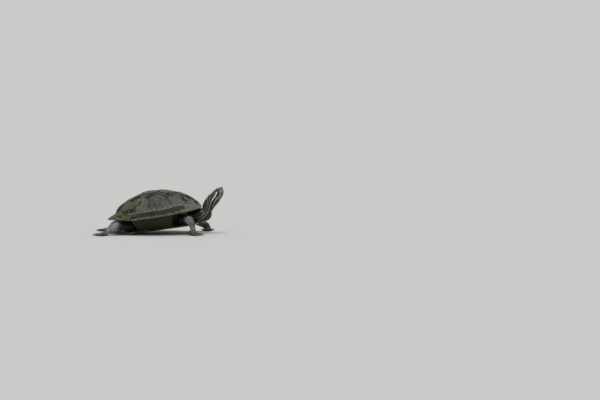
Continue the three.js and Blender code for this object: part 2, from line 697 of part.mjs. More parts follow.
function web(foot) {
  const tip = ({ y, turn, length }, reach) => ({
    x: foot.toeStart + cos(turn * RAD) * length * reach,
    y: y + sin(turn * RAD) * length * reach,
  });
  const shape = new THREE.Shape();
  shape.moveTo(0, foot.toes[0].y);
  foot.toes.forEach((toe, i) => {
    const here = tip(toe, foot.webReach);
    if (i > 0) {
      const before = tip(foot.toes[i - 1], foot.webReach);
      shape.lineTo(((before.x + here.x) / 2) * WEB.dip, (before.y + here.y) / 2);
    }
    shape.lineTo(here.x, here.y);
  });
  shape.lineTo(0, foot.toes.at(-1).y);
  const sheet = new THREE.ExtrudeGeometry(shape, { depth: WEB.thickness, bevelEnabled: false });
  return solidOfGeometry(sheet.translate(0, 0, WEB.height));
}

function footBody(foot) {
  let body = sweptBody(foot.palm, { broad: point(0, 1, 0), sides: 10, steps: 4 }).add(web(foot));
  for (const toe of foot.toes) {
    const way = point(cos(toe.turn * RAD), sin(toe.turn * RAD), 0);
    const across = point(-way.y, way.x, 0);
    const out = (far, z) => point(foot.toeStart, toe.y, z).addScaledVector(way, far);
    body = body.add(sweptBody(toeStations(toe, foot.toeRadius, out), { broad: across, sides: 5, steps: 4 }));
  }
  return body;
}

// Where a limb is parted from its foot, between its last two stations, and how wide the cut reaches.
const ANKLE_CUT = { share: 0.55, reach: 34 };

// A limb whole, from inside the trunk to the claws, parted at the wrist or ankle.
function limb({ stations, broad, foot, place, turn }) {
  const matrix = new THREE.Matrix4().makeRotationZ(turn * RAD).setPosition(place);
  const hand = moved(footBody(foot), matrix);
  const arm = sweptBody(stations, { broad, sides: 10, steps: 7 });
  const whole = onFloor(outsideShell(arm).add(hand));
  const [a, b] = stations.slice(-2).map((s) => s.at);
  const cutAt = new THREE.Vector3().lerpVectors(a, b, ANKLE_CUT.share);
  const [leg, paw] = partedAt(whole, cutAt, b.clone().sub(a).normalize(), ANKLE_CUT.reach);
  return { leg, paw };
}

const LIMBS = {
  right_fore: {
    stations: [
      { at: point(54, -38, 37), wide: 15, high: 10.5 },
      { at: point(69, -54, 36), wide: 11.5, high: 9 },
      { at: point(76.5, -61, 27), wide: 8, high: 7.2 },
      { at: point(79.5, -63.5, 15.5), wide: 6.5, high: 5.5 },
      { at: point(81, -64.5, 6.5), wide: 7, high: 5 },
    ],
    broad: point(1, 0.5, 0),
    foot: FORE_FOOT,
    place: point(80, -65, 0),
    turn: -33,
  },
  left_fore: {
    stations: [
      { at: point(55, 36, 35), wide: 12, high: 10 },
      { at: point(76, 48, 28), wide: 10, high: 9.4 },
      { at: point(93, 54, 21), wide: 9, high: 8.4 },
      { at: point(106.5, 58.5, 14), wide: 8.6, high: 8.2 },
      { at: point(113, 61.5, 6.6), wide: 8.4, high: 5.8 },
    ],
    broad: point(0, 1, 0),
    foot: FORE_FOOT,
    place: point(111.5, 62.8, 0),
    turn: 95,
  },
  right_hind: {
    stations: [
      { at: point(-60, -36, 21), wide: 14, high: 11 },
      { at: point(-79, -49, 20.5), wide: 13, high: 11 },
      { at: point(-95, -58, 19), wide: 11.6, high: 11 },
      { at: point(-110, -63, 13.5), wide: 9.6, high: 8.4 },
      { at: point(-118.6, -65.8, 8), wide: 9, high: 6 },
    ],
    broad: point(-0.4, 1, 0),
    foot: HIND_FOOT,
    place: point(-121.8, -66.3, 0),
    turn: 180 + 43,
  },
  left_hind: {
    stations: [
      { at: point(-60, 36, 22), wide: 14, high: 11 },
      { at: point(-81, 46, 22), wide: 13, high: 11 },
      { at: point(-97, 52, 19), wide: 11.4, high: 10.6 },
      { at: point(-109, 57, 13.4), wide: 9.6, high: 8.2 },
      { at: point(-116, 60, 8), wide: 9, high: 6 },
    ],
    broad: point(0.4, 1, 0),
    foot: HIND_FOOT,
    place: point(-119.5, 60.5, 0),
    turn: 180 - 28,
  },
};

// ---------------------------------------------------------------- materials
const finish = (color, roughness) => new THREE.MeshStandardMaterial({ color, roughness, metalness: 0 });
const carapaceHorn = finish(0x5b5d4c, 0.75);
const plastronHorn = finish(0xa8904f, 0.6);
const skin = finish(0x35382c, 0.6);
const beakHorn = finish(0x6b6a4a, 0.5);
const eyeGloss = finish(0x2a2d12, 0.15);

// ---------------------------------------------------------------- assembly
function node(name, solid, material) {
  const mesh = new THREE.Mesh(geometryOf(solid), material);
  mesh.name = name;
  return mesh;
}

const shell = new THREE.Group();
shell.applyMatrix4(shellFrame);
shell.add(node("trunk", trunkBody(), skin));
vertebralOutlines().forEach((outline, i) => {
  shell.add(node(`vertebral_${i + 1}`, scutePlate(outline), carapaceHorn));
});
pleuralOutlines().forEach((outline, i) => {
  shell.add(node(`pleural_left_${i + 1}`, scutePlate(outline), carapaceHorn));
  shell.add(node(`pleural_right_${i + 1}`, scutePlate(mirroredOutline(outline).reverse()), carapaceHorn));
});
shell.add(node("nuchal", marginal(-MARGINAL_TURNS[0], MARGINAL_TURNS[0]), carapaceHorn));
for (let i = 0; i < MARGINALS; i++) {
  const [from, to] = [MARGINAL_TURNS[i], MARGINAL_TURNS[i + 1]];
  shell.add(node(`marginal_left_${i + 1}`, marginal(from, to), carapaceHorn));
  shell.add(node(`marginal_right_${i + 1}`, marginal(-to, -from), carapaceHorn));
}
const floorInShell = moved(floorBlock, shellFrame.clone().invert());
PLASTRON_SEAMS.forEach((rear, i) => {
  const front = i === 0 ? { x: PLASTRON.length, bend: 0 } : PLASTRON_SEAMS[i - 1];
  const band = plastronBand(front, rear).subtract(floorInShell);
  shell.add(node(`plastron_${rear.name}`, band, plastronHorn));
});

const head = new THREE.Group();
head.applyMatrix4(headFrame);
const parts = headParts();
head.add(node("head", parts.head, skin));
head.add(node("lower_jaw", parts.jaw, beakHorn));
head.add(node("eye_left", parts.leftEye, eyeGloss));
head.add(node("eye_right", parts.rightEye, eyeGloss));

const body = new THREE.Group();
const sideways = point(0, 1, 0);
const neck = sweptBody(NECK_STATIONS, { broad: sideways, sides: 14, steps: 10 });
body.add(node("neck", largest(outsideShell(neck).subtract(headInPlace)), skin));
const tail = sweptBody(TAIL_STATIONS, { broad: sideways, sides: 10, steps: 8 });
body.add(node("tail", largest(onFloor(outsideShell(tail))), skin));
for (const [name, shape] of Object.entries(LIMBS)) {
  const { leg, paw } = limb(shape);
  body.add(node(`${name}_leg`, leg, skin));
  body.add(node(`${name}_foot`, paw, skin));
}

const turtle = new THREE.Group();
turtle.name = "red_eared_slider";
turtle.add(shell, head, body);

export default turtle;
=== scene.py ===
"""Looks of the red-eared slider: plates of shell, one skin with its scales, eyes, beak and claws.

Shapes are worked out in millimetres, in the frame's axes (+X forward, +Y her left, +Z up), and every mesh
is made in metres. The shell, the head and each foot are shaped in frames of their own, as in the solids.
"""

import bmesh
import bpy
import numpy as np
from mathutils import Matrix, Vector


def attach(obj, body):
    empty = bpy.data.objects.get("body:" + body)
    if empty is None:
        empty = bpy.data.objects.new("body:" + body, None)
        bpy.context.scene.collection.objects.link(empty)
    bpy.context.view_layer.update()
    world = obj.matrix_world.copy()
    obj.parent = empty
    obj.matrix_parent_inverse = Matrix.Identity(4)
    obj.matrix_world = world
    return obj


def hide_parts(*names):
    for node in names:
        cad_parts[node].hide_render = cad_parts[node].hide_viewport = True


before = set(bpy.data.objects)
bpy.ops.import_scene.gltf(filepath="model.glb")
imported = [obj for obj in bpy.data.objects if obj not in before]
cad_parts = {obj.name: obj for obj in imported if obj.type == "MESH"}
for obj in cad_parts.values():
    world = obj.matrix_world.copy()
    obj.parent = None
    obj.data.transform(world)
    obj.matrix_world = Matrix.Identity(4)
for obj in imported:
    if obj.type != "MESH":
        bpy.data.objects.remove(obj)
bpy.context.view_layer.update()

MM = 0.001
PI = np.pi
cos, sin = np.cos, np.sin


def at(*values):
    return np.array(values, float)


# ---------------------------------------------------------------- driving dimensions, as in the solids
SHELL_PITCH = np.radians(7.4)
SHELL_PLACE = at(-5.2, 0, 9.5)
POLE_X = -4
FRONT_REACH = 114
REAR_REACH = 106
HALF_WIDTH = 82
PLAN_POWER = 2.3
DOME_TOP = 90.6
RIM_HEIGHT = 31.5
RIM_RISE = {"front": 7, "rear": 6.8}
SKIRT = {"seam": 10, "bend": 0.042, "slack": 2.4}
KEEL = {"height": 1.3, "half": 9}
VERTEBRAL_SEAMS = [at(56, 22), at(15, 23), at(-26, 21), at(-62, 17)]
PLEURAL_SEAMS = [at(35, 31), at(-6, 28.5), at(-46, 25)]
PLEURAL_RIM_X = [42, -9, -57]
FIRST_VERTEBRAL_HALF = 25
LAST_VERTEBRAL_HALF = 32
NUCHAL_HALF = 4.5
MARGINALS = 12
MARGINAL_INNER = {"side": 0.9, "front": 0.87, "rear": 0.81}
PLASTRON = {"length": 99, "front_half": 45, "rear_half": 47, "flat_to": 68, "front_rise": 1.5, "rear_rise": 3}
BRIDGE = {"front": 37, "rear": -38, "half": 75.4, "start": 44, "rise": 27.1, "ramp": 7}
BRIDGE_FAN = {"front": 9, "rear": -18}
PLASTRON_SEAMS = [("gular", 73, 15), ("humeral", 56, 0), ("pectoral", 24, 3)]
PLASTRON_SEAMS += [("abdominal", -26, -4), ("femoral", -59, -17), ("anal", -99, 0)]
HEAD_PITCH = np.radians(40)
HEAD_PLACE = at(118.6, 0, 74.8)
EYE_PLACE = at(29.5, 6.8, 7.9)
EYE_RADIUS = 4.4
MOUTH_CORNER = at(15, -5.6)
MOUTH_TIP = at(44, -1.6)

# ---------------------------------------------------------------- dimensions of the finish
SEAM_GAP = 0.08  # half the gap between plates of shell
PLATE_DEPTH = 2.6
SKIN_DEPTH = 0.35  # how far the skin lies inside the solids of flesh
VOXEL = 0.75


# ---------------------------------------------------------------- small tools
def mix(a, b, share):
    return a + (b - a) * share


def smooth(low, high, value):
    """0 below low, 1 above high, and a soft step between them; low may be the larger one."""
    share = np.clip((value - low) / (high - low), 0, 1)
    return share * share * (3 - 2 * share)


def unit(vectors):
    return vectors / np.maximum(np.linalg.norm(vectors, axis=-1, keepdims=True), 1e-9)


def lattice(cells, seed):
    """A repeatable number from 0 to 1 for each whole-number cell."""
    mixed = cells[..., 0] * 374761393 + cells[..., 1] * 668265263
    mixed = mixed + cells[..., 2] * 1442695041 + seed * 974634777
    mixed = ((mixed ^ (mixed >> 13)) * 1274126177) & 0xFFFFFFFF
    return ((mixed ^ (mixed >> 16)) & 0xFFFF) / 65535


def noise(points, size, seed=0):
    """Smooth noise from -1 to 1 with bumps of about the given size, or sizes along x, y and z."""
    scaled = points / size
    cell = np.floor(scaled).astype(np.int64)
    part = scaled - cell
    part = part * part * (3 - 2 * part)
    total = 0
    for corner in np.ndindex(2, 2, 2):
        weight = np.prod(np.where(corner, part, 1 - part), axis=-1)
        total = total + weight * lattice(cell + np.array(corner), seed)
    return 2 * total - 1


def cellular(points, size, seed=0):
    """Distance to the nearest of scattered points, and to the next nearest, in shares of the cell size."""
    scaled = points / size
    cell = np.floor(scaled).astype(np.int64)
    best = np.full(len(points), 9.0)
    second = np.full(len(points), 9.0)
    for step in np.ndindex(3, 3, 3):
        near = cell + np.array(step) - 1
        spot = near + np.stack([lattice(near, seed + k) for k in range(3)], -1)
        gap = np.linalg.norm(scaled - spot, axis=-1)
        second = np.where(gap < best, best, np.minimum(second, gap))
        best = np.minimum(best, gap)
    return best, second


def turned(points, pitch, place):
    """From a frame turned nose up by pitch, with its origin at place, to the frame of the whole."""
    x = points[..., 0] * cos(pitch) - points[..., 2] * sin(pitch)
    z = points[..., 0] * sin(pitch) + points[..., 2] * cos(pitch)
    return np.stack([x, points[..., 1], z], -1) + place


def turned_back(points, pitch, place):
    return turned(points - place, -pitch, 0)


def make_mesh(name, points, faces, material, slot, nodes=(), **attributes):
    """A closed smooth-shaded piece from points in millimetres, riding on the one body of the model."""
    mesh = bpy.data.meshes.new(name)
    mesh.from_pydata((points * MM).tolist(), [], faces)
    mesh.validate()
    for key, values in attributes.items():
        layer = mesh.attributes.new(key, "FLOAT", "POINT")
        layer.data.foreach_set("value", np.asarray(values, np.float32))
    return place_piece(name, mesh, material, nodes)


def place_piece(name, mesh, material, nodes=()):
    mesh.polygons.foreach_set("use_smooth", [True] * len(mesh.polygons))
    mesh.materials.clear()
    mesh.materials.append(material)
    piece = bpy.data.objects.new(name, mesh)
    bpy.context.scene.collection.objects.link(piece)
    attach(piece, "root")
    if nodes:
        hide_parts(*nodes)
    return piece


def face_out(piece):
    """Turns all the faces of a closed mesh outwards."""
    body = bmesh.new()
    body.from_mesh(piece.data)
    bmesh.ops.recalc_face_normals(body, faces=body.faces)
    if body.calc_volume(signed=True) < 0:
        bmesh.ops.reverse_faces(body, faces=body.faces)
    body.to_mesh(piece.data)
    body.free()


def solid_piece(*made_of, **attributes):
    """A piece as make_mesh makes it, from the same values, with its faces turned outwards."""
    piece = make_mesh(*made_of, **attributes)
    face_out(piece)
    return piece


def grid_faces(rows, lanes, wrap=True, start=0):
    """Quads between rows of points; with wrap, each row closes on itself."""
    row = np.arange(rows - 1)[:, None] * lanes + start
    lane = np.arange(lanes if wrap else lanes - 1)[None, :]
    after = (lane + 1) % lanes
    quads = np.stack([row + lane, row + after, row + lanes + after, row + lanes + lane], -1)
    return quads.reshape(-1, 4).tolist()


def tube_faces(rows, lanes, poles, start=0):
    """Quads round the rows of a tube, and a fan from each of its ends to one of the two poles."""
    faces = grid_faces(rows, lanes, start=start)
    last = start + (rows - 1) * lanes
    for k in range(lanes):
        after = (k + 1) % lanes
        faces.append([start + after, start + k, poles[0]])
        faces.append([last + k, last + after, poles[1]])
    return faces


def ring_tube(rings):
    """Points and faces of a closed tube through rings (rows, lanes, 3), with a fan over each end."""
    rows, lanes = rings.shape[:2]
    points = np.concatenate([rings.reshape(-1, 3), rings[:1].mean(1), rings[-1:].mean(1)])
    return points, tube_faces(rows, lanes, (rows * lanes, rows * lanes + 1))


def slab_faces(rows, lanes):
    """Faces of a slab: a grid of points, then the same grid again for its other side, with a wall between."""
    other = rows * lanes
    border = list(range(lanes)) + [row * lanes + lanes - 1 for row in range(1, rows)]
    border += [(rows - 1) * lanes + lane for lane in range(lanes - 2, -1, -1)]
    border += [row * lanes for row in range(rows - 2, 0, -1)]
    walls = [[a, b, b + other, a + other] for a, b in zip(border, border[1:] + border[:1])]
    return grid_faces(rows, lanes, wrap=False) + grid_faces(rows, lanes, wrap=False, start=other) + walls


# ---------------------------------------------------------------- materials
class Shade:
    """A node material whose parts are made by short calls; colours are sRGB whole numbers."""

    def __init__(self, name, roughness=0.6, **settings):
        self.material = bpy.data.materials.new(name)
        self.material.use_nodes = True
        self.tree = self.material.node_tree
        self.shader = self.tree.nodes["Principled BSDF"]
        self.place = self.tree.nodes.new("ShaderNodeTexCoord").outputs["Object"]
        self.set("Roughness", roughness)
        for key, value in settings.items():
            self.set(key.replace("_", " "), value)

    def set(self, socket, value):
        self.plug(value, self.shader.inputs[socket])

    def plug(self, value, socket):
        if isinstance(value, bpy.types.NodeSocket):
            self.tree.links.new(value, socket)
        else:
            socket.default_value = value

    def colour(self, code):
        """Linear colour of an sRGB code such as 0x5b5d4c."""
        channels = np.array([code >> 16 & 255, code >> 8 & 255, code & 255]) / 255
        linear = np.where(channels > 0.04045, ((channels + 0.055) / 1.055) ** 2.4, channels / 12.92)
        return (*linear, 1)

    def attribute(self, name):
        node = self.tree.nodes.new("ShaderNodeAttribute")
        node.attribute_name = name
        return node.outputs["Fac"]

    def stretched(self, x=1, y=1, z=1):
        node = self.tree.nodes.new("ShaderNodeMapping")
        node.inputs["Scale"].default_value = (x, y, z)
        self.plug(self.place, node.inputs["Vector"])
        return node.outputs["Vector"]

    def noise(self, size, detail=4, rough=0.55, warp=0, where=None):
        """Noise from 0 to 1 with features of about size millimetres."""
        node = self.tree.nodes.new("ShaderNodeTexNoise")
        node.inputs["Scale"].default_value = 1 / (size * MM)
        node.inputs["Detail"].default_value = detail
        node.inputs["Roughness"].default_value = rough
        node.inputs["Distortion"].default_value = warp
        self.plug(where or self.place, node.inputs["Vector"])
        return node.outputs["Fac"]

    def cells(self, size):
        """Distance from the middle of soft-edged cells of about size millimetres."""
        node = self.tree.nodes.new("ShaderNodeTexVoronoi")
        node.feature = "SMOOTH_F1"
        node.inputs["Scale"].default_value = 1 / (size * MM)
        self.plug(self.place, node.inputs["Vector"])
        return node.outputs["Distance"]

    def axis(self, which):
        node = self.tree.nodes.new("ShaderNodeSeparateXYZ")
        self.plug(self.place, node.inputs[0])
        return node.outputs[which]

    def math(self, kind, a, b=0.0):
        node = self.tree.nodes.new("ShaderNodeMath")
        node.operation = kind
        self.plug(a, node.inputs[0])
        self.plug(b, node.inputs[1])
        return node.outputs[0]

    def times(self, a, b):
        return self.math("MULTIPLY", a, b)

    def plus(self, a, b):
        return self.math("ADD", a, b)

    def minus(self, a, b):
        return self.math("SUBTRACT", a, b)

    def larger(self, a, b):
        return self.math("MAXIMUM", a, b)

    def sway(self, value, amount):
        """A value from 0 to 1, made to swing to both sides of 0 over a span of amount."""
        return self.times(self.minus(value, 0.5), amount)

    def step(self, value, low, high, least=0, most=1):
        """A soft step of value: least at low and most at high."""
        node = self.tree.nodes.new("ShaderNodeMapRange")
        node.interpolation_type = "SMOOTHSTEP"
        given = {"Value": value, "From Min": low, "From Max": high, "To Min": least, "To Max": most}
        for key, number in given.items():
            self.plug(number, node.inputs[key])
        return node.outputs["Result"]

    def blend(self, a, b, share, kind="MIX"):
        node = self.tree.nodes.new("ShaderNodeMix")
        node.data_type = "RGBA"
        node.blend_type = kind
        self.plug(share, node.inputs["Factor"])
        for value, socket in ((a, node.inputs[6]), (b, node.inputs[7])):
            self.plug(self.colour(value) if isinstance(value, int) else value, socket)
        return node.outputs[2]

    def smudge(self, u, v, start, end, width, ragged):
        """A ragged blot round the line from start to end, all in millimetres, in the plane of u and v."""
        start, end = at(*start) * MM, at(*end) * MM
        middle, run = (start + end) / 2, (end - start) / 2
        half = np.linalg.norm(run)
        way = run / half

        def measured(along, across):
            far = self.plus(self.times(u, along), self.times(v, across))
            return self.math("ABSOLUTE", self.minus(far, middle @ at(along, across)))

        past = self.larger(self.minus(measured(*way), half), 0.0)
        gap = self.plus(past, measured(-way[1], way[0]))
        gap = self.plus(gap, self.sway(ragged, STAIN_RAGGED * width * MM))
        return self.step(gap, width * MM, STAIN_CORE * width * MM)

    def bump(self, height, distance, strength=1.0):
        """Relief of height times distance millimetres, over what was there before."""
        node = self.tree.nodes.new("ShaderNodeBump")
        node.inputs["Strength"].default_value = strength
        node.inputs["Distance"].default_value = distance * MM
        self.plug(height, node.inputs["Height"])
        before = self.shader.inputs["Normal"]
        if before.is_linked:
            self.plug(before.links[0].from_socket, node.inputs["Normal"])
        self.plug(node.outputs["Normal"], before)


# Dark stains of the carapace, as lines in x and z of the whole frame, with half their width. In shares of
# that width: how ragged their edges are, and how far out they are solid.
STAIN_RAGGED = 4.5
STAIN_CORE = 0.55
BLOTCHES = [
    ((-79, 49), (-58, 57), 6.0),
    ((-64, 57), (-53, 64), 3.5),
    ((-73, 34), (-52, 42), 4.5),
    ((-93, 41.5), (-85, 43), 1.9),
    ((-84, 35), (-77, 37), 2.2),
    ((-46, 70), (-40, 77), 2.4),
    ((-99, 49), (-83, 66.5), 2.8),
    ((-63, 76), (-43, 87), 3.0),
    ((-30, 86), (-8, 93), 2.8),
    ((-8, 93), (12, 92.5), 1.9),
    ((12, 92), (20, 86), 2.2),
    ((20, 92), (36, 91), 2.0),
    ((52, 87), (66, 75), 3.6),
    ((62, 89.5), (76, 82.5), 2.6),
    ((76, 82.5), (90, 71.5), 2.9),
]


# Mottling of the carapace: which noise, where its step starts and ends, its colour and how much it covers.
MOTTLING = [
    ("patch", 0.49, 0.35, 0x23251B, 0.8),
    ("patch", 0.54, 0.68, 0x808172, 0.6),
    ("clump", 0.46, 0.33, 0x1D1E17, 0.8),
    ("clump", 0.54, 0.68, 0x8C8D80, 0.55),
    ("fine", 0.57, 0.72, 0xACAB9A, 0.6),
    ("fine", 0.43, 0.3, 0x191A13, 0.6),
]


def carapace_material():
    """Olive-grey horn under a film of algae and mud: dark seams, blotches, specks and a pale worn rim."""
    shade = Shade("carapace_horn")
    edge, share, row = (shade.attribute(name) for name in ("edge", "share", "row"))
    broad = shade.noise(30, 3)
    patch = shade.noise(8.5, 5, 0.68, 0.3)
    clump = shade.noise(4, 5, 0.7, 0.25)
    fine = shade.noise(1.4, 5, 0.72, 0.1)
    grains = {"patch": patch, "clump": clump, "fine": fine}
    x, z = shade.axis("X"), shade.axis("Z")
    # The marginals along the flanks are painted much darker than the plates above them. This is partly the
    # horn's own tone and partly painted shade on the steep sides. In front the low marginals are painted
    # lighter.
    flank = shade.blend(0x1B1D18, 0x2B2D27, shade.step(broad, 0.36, 0.62))
    horn = shade.blend(0x464840, 0x5F6056, shade.step(broad, 0.36, 0.62))
    drift = shade.sway(patch, 0.09)
    forward = shade.step(shade.plus(x, drift), 0.045, 0.075)
    upper = shade.larger(shade.step(row, 0.1, 0.45), forward)
    colour = shade.blend(flank, horn, upper)
    low = shade.times(forward, shade.step(row, 0.6, 0.2))
    colour = shade.blend(colour, 0x6B6C60, low)
    rearward = shade.step(shade.plus(x, drift), -0.03, -0.075)
    colour = shade.blend(colour, 0x50503A, shade.times(rearward, 0.75))
    vivid = shade.larger(shade.larger(upper, rearward), 0.3)
    rings = shade.plus(share, shade.times(patch, 0.2))
    rings = shade.math("SINE", shade.times(rings, 44))
    colour = shade.blend(colour, 0x2C2E24, shade.times(shade.step(rings, 0.1, 0.95), 0.18))
    for spots, low, high, tone, strength in MOTTLING:
        spread = shade.step(grains[spots], low, high)
        spread = shade.times(spread, strength)
        colour = shade.blend(colour, tone, shade.times(spread, vivid))
    moss = shade.times(shade.step(row, 0.55, 0.9), shade.step(clump, 0.44, 0.6))
    colour = shade.blend(colour, 0x757B5C, shade.times(moss, 0.55))
    moss = shade.times(rearward, shade.step(clump, 0.5, 0.62))
    colour = shade.blend(colour, 0x7F7F50, shade.times(moss, 0.5))
    for start, end, width in BLOTCHES:
        stain = shade.smudge(x, z, start, end, width, clump)
        colour = shade.blend(colour, 0x0E0F0A, shade.times(stain, 0.88))
    ragged = shade.plus(edge, shade.sway(clump, 8))
    seam = shade.attribute("seam")
    ragged = shade.plus(ragged, shade.times(shade.minus(1.0, seam), 2.2))
    shadow = shade.times(shade.step(ragged, 6.5, 2.5), shade.times(seam, 0.55))
    seam = shade.times(shade.step(ragged, 4.2, 1.6), seam)
    colour = shade.blend(colour, 0x10110C, shade.larger(seam, shadow))
    worn = shade.times(shade.attribute("worn"), shade.step(clump, 0.4, 0.56))
    colour = shade.blend(colour, 0x908F7D, shade.times(worn, 0.6))
    # Painted shade: under darkens the walls of the plates at their seams and the undersides of the marginals.
    colour = shade.blend(colour, 0x14150F, shade.attribute("under"))
    shade.set("Base Color", colour)
    shade.set("Roughness", shade.step(patch, 0.3, 0.7, 0.5, 0.85))
    shade.set("Specular IOR Level", 0.18)
    shade.bump(patch, 1.2, 0.5)
    shade.bump(clump, 1.0, 0.6)
    shade.bump(fine, 0.45, 0.7)
    return shade.material


def plastron_material():
    """Yellow horn with a dark blotch on each scute, stained brown along the seams."""
    shade = Shade("plastron_horn")
    edge, share = shade.attribute("edge"), shade.attribute("share")
    cloud = shade.noise(9, 4, 0.6, 0.5)
    fine = shade.noise(1.2, 5, 0.65)
    colour = shade.blend(0xA38A4C, 0x8A7A4A, shade.step(cloud, 0.35, 0.65))
    colour = shade.blend(colour, 0x6E6238, shade.times(shade.step(fine, 0.5, 0.72), 0.5))
    blotch = shade.plus(share, shade.sway(cloud, 0.9))
    colour = shade.blend(colour, 0x2A271B, shade.times(shade.step(blotch, 0.62, 0.46), 0.9))
    hollow = shade.times(shade.step(blotch, 0.3, 0.16), 0.5)
    colour = shade.blend(colour, 0x6F6238, hollow)
    colour = shade.blend(colour, 0x3A3322, shade.times(shade.step(edge, 1.2, 0.1), 0.8))
    # The bridges, past about 42 mm from the midline where they lie under the marginals, are darkened: partly
    # grime, partly painted shade.
    out = shade.math("ABSOLUTE", shade.axis("Y"))
    out = shade.plus(out, shade.sway(cloud, 0.02))
    grime_and_shade = shade.times(shade.step(out, 0.042, 0.052), 0.94)
    colour = shade.blend(colour, shade.blend(0x0F110A, 0x24271A, shade.step(fine, 0.35, 0.65)), grime_and_shade)
    shade.set("Base Color", colour)
    shade.set("Roughness", shade.step(fine, 0.3, 0.7, 0.42, 0.62))
    shade.set("Specular IOR Level", 0.18)
    shade.bump(fine, 0.25, 0.6)
    return shade.material


def skin_colours(shade):
    """The markings that skin and scales share, from the measures kept in the mesh."""
    patch = shade.noise(6, 4, 0.6, 0.4)
    fine = shade.noise(1.1, 5, 0.65)
    wobble = shade.sway(shade.noise(1.6, 3), 1.1)
    colour = shade.blend(0x181A14, 0x292A23, shade.step(patch, 0.35, 0.65))
    colour = shade.blend(colour, 0x0F110C, shade.times(shade.step(fine, 0.5, 0.34), 0.6))
    colour = shade.blend(colour, 0x484A40, shade.times(shade.step(fine, 0.56, 0.74), 0.4))
    grey = shade.blend(0x6A6B74, 0xA6A5AE, shade.step(patch, 0.36, 0.64))
    colour = shade.blend(colour, grey, shade.attribute("grey"))
    brown = shade.blend(0x35240F, 0x774E22, shade.step(patch, 0.36, 0.62))
    colour = shade.blend(colour, brown, shade.attribute("brown"))
    lit = shade.step(shade.axis("Z"), 0.06, 0.085)
    cream = shade.blend(0x8A8672, 0xE4E0D2, lit), shade.blend(0x625F4E, 0xB8B4A2, lit)
    for name, (light, dull), rim in (("ear", (0x5B3F37, 0x3B2E29), 0x1C1F1A), ("cream", cream, 0x141712)):
        inside = shade.plus(shade.attribute(name), wobble)
        border = shade.times(shade.step(inside, -1.3, -0.2), 0.65)
        colour = shade.blend(colour, rim, border)
        marking = shade.blend(light, dull, shade.step(fine, 0.42, 0.62))
        marking = shade.blend(marking, 0xD2AE7C, shade.times(shade.attribute("brown"), 0.8))
        colour = shade.blend(colour, marking, shade.step(inside, -0.15, 0.3))
    # The dark share is painted shade, on the skin under the shell and on the thigh.
    return shade.blend(colour, 0x11120C, shade.attribute("dark")), fine


def skin_material():
    shade = Shade("turtle_skin", Coat_Weight=0.22, Coat_Roughness=0.25, Specular_IOR_Level=0.28)
    colour, fine = skin_colours(shade)
    shade.set("Base Color", colour)
    shade.set("Roughness", shade.step(fine, 0.35, 0.7, 0.38, 0.6))
    grain = shade.cells(0.9)
    shade.bump(grain, 0.3, 0.5)
    shade.bump(fine, 0.3, 0.5)
    return shade.material


def scale_material():
    shade = Shade("turtle_scales", Coat_Weight=0.16, Coat_Roughness=0.25, Specular_IOR_Level=0.28)
    colour, fine = skin_colours(shade)
    rim = shade.attribute("rim")
    # The rims of the scales are painted darker, a painted shade in the gaps between them.
    colour = shade.blend(colour, 0x14160F, shade.times(shade.step(rim, 0.55, 1.0), 0.6))
    shade.set("Base Color", colour)
    shade.set("Roughness", shade.step(fine, 0.35, 0.7, 0.4, 0.6))
    shade.bump(fine, 0.2, 0.5)
    return shade.material


def beak_material():
    shade = Shade("beak_horn", Coat_Weight=0.3, Coat_Roughness=0.2)
    streak = shade.noise(1.4, 4, 0.6, where=shade.stretched(0.4, 1, 1))
    colour = shade.blend(0x3E3A2B, 0x6E6850, shade.step(streak, 0.38, 0.66))
    cream = shade.plus(shade.attribute("cream"), shade.times(streak, 0.4))
    colour = shade.blend(colour, 0xB0AB90, shade.times(shade.step(cream, -0.1, 0.5), 0.7))
    colour = shade.blend(colour, 0x4B4C49, shade.times(shade.attribute("far"), 0.85))
    colour = shade.blend(colour, 0x2A281C, shade.times(shade.attribute("lip"), 0.8))
    shade.set("Base Color", colour)
    shade.set("Roughness", shade.step(streak, 0.3, 0.7, 0.3, 0.5))
    shade.bump(streak, 0.15, 0.5)
    return shade.material


def claw_material():
    shade = Shade("claw_horn", Coat_Weight=0.3, Coat_Roughness=0.2)
    streak = shade.noise(0.9, 4, 0.6)
    along = shade.attribute("along")
    colour = shade.blend(0x4E4639, 0x9A937C, shade.step(along, 0.05, 0.6))
    colour = shade.blend(colour, 0xC4BEA6, shade.step(along, 0.7, 1.0))
    colour = shade.blend(colour, 0x2E2A22, shade.times(shade.step(streak, 0.54, 0.7), 0.5))
    shade.set("Base Color", colour)
    shade.set("Roughness", shade.step(streak, 0.3, 0.7, 0.28, 0.5))
    shade.bump(streak, 0.12, 0.5)
    return shade.material


def eye_material():
    """Yellow-green iris with a round pupil and the dark bar that crosses it, under a wet cornea."""
    shade = Shade("eye_wet", Roughness=0.08, Coat_Weight=1.0, Coat_Roughness=0.03)
    forward, upward = shade.attribute("forward"), shade.attribute("upward")
    squares = [shade.times(value, value) for value in (forward, upward)]
    out = shade.math("SQRT", shade.plus(*squares))
    fibre = shade.noise(0.45, 4, 0.7)
    colour = shade.blend(0x3B3E14, 0x6A692F, shade.step(fibre, 0.4, 0.65))
    colour = shade.blend(colour, 0x39400F, shade.step(out, 0.5, 0.66))
    bar = shade.plus(shade.math("ABSOLUTE", upward), shade.sway(fibre, 0.12))
    colour = shade.blend(colour, 0x0B0C06, shade.step(bar, 0.26, 0.18))
    colour = shade.blend(colour, 0x030302, shade.step(out, 0.32, 0.28))
    colour = shade.blend(colour, 0x0A0A07, shade.step(out, 0.7, 0.78))
    shade.set("Base Color", colour)
    shade.bump(fibre, 0.03, 0.2)
    return shade.material


HORN = carapace_material()
PLASTRON_HORN = plastron_material()
SCALES = scale_material()


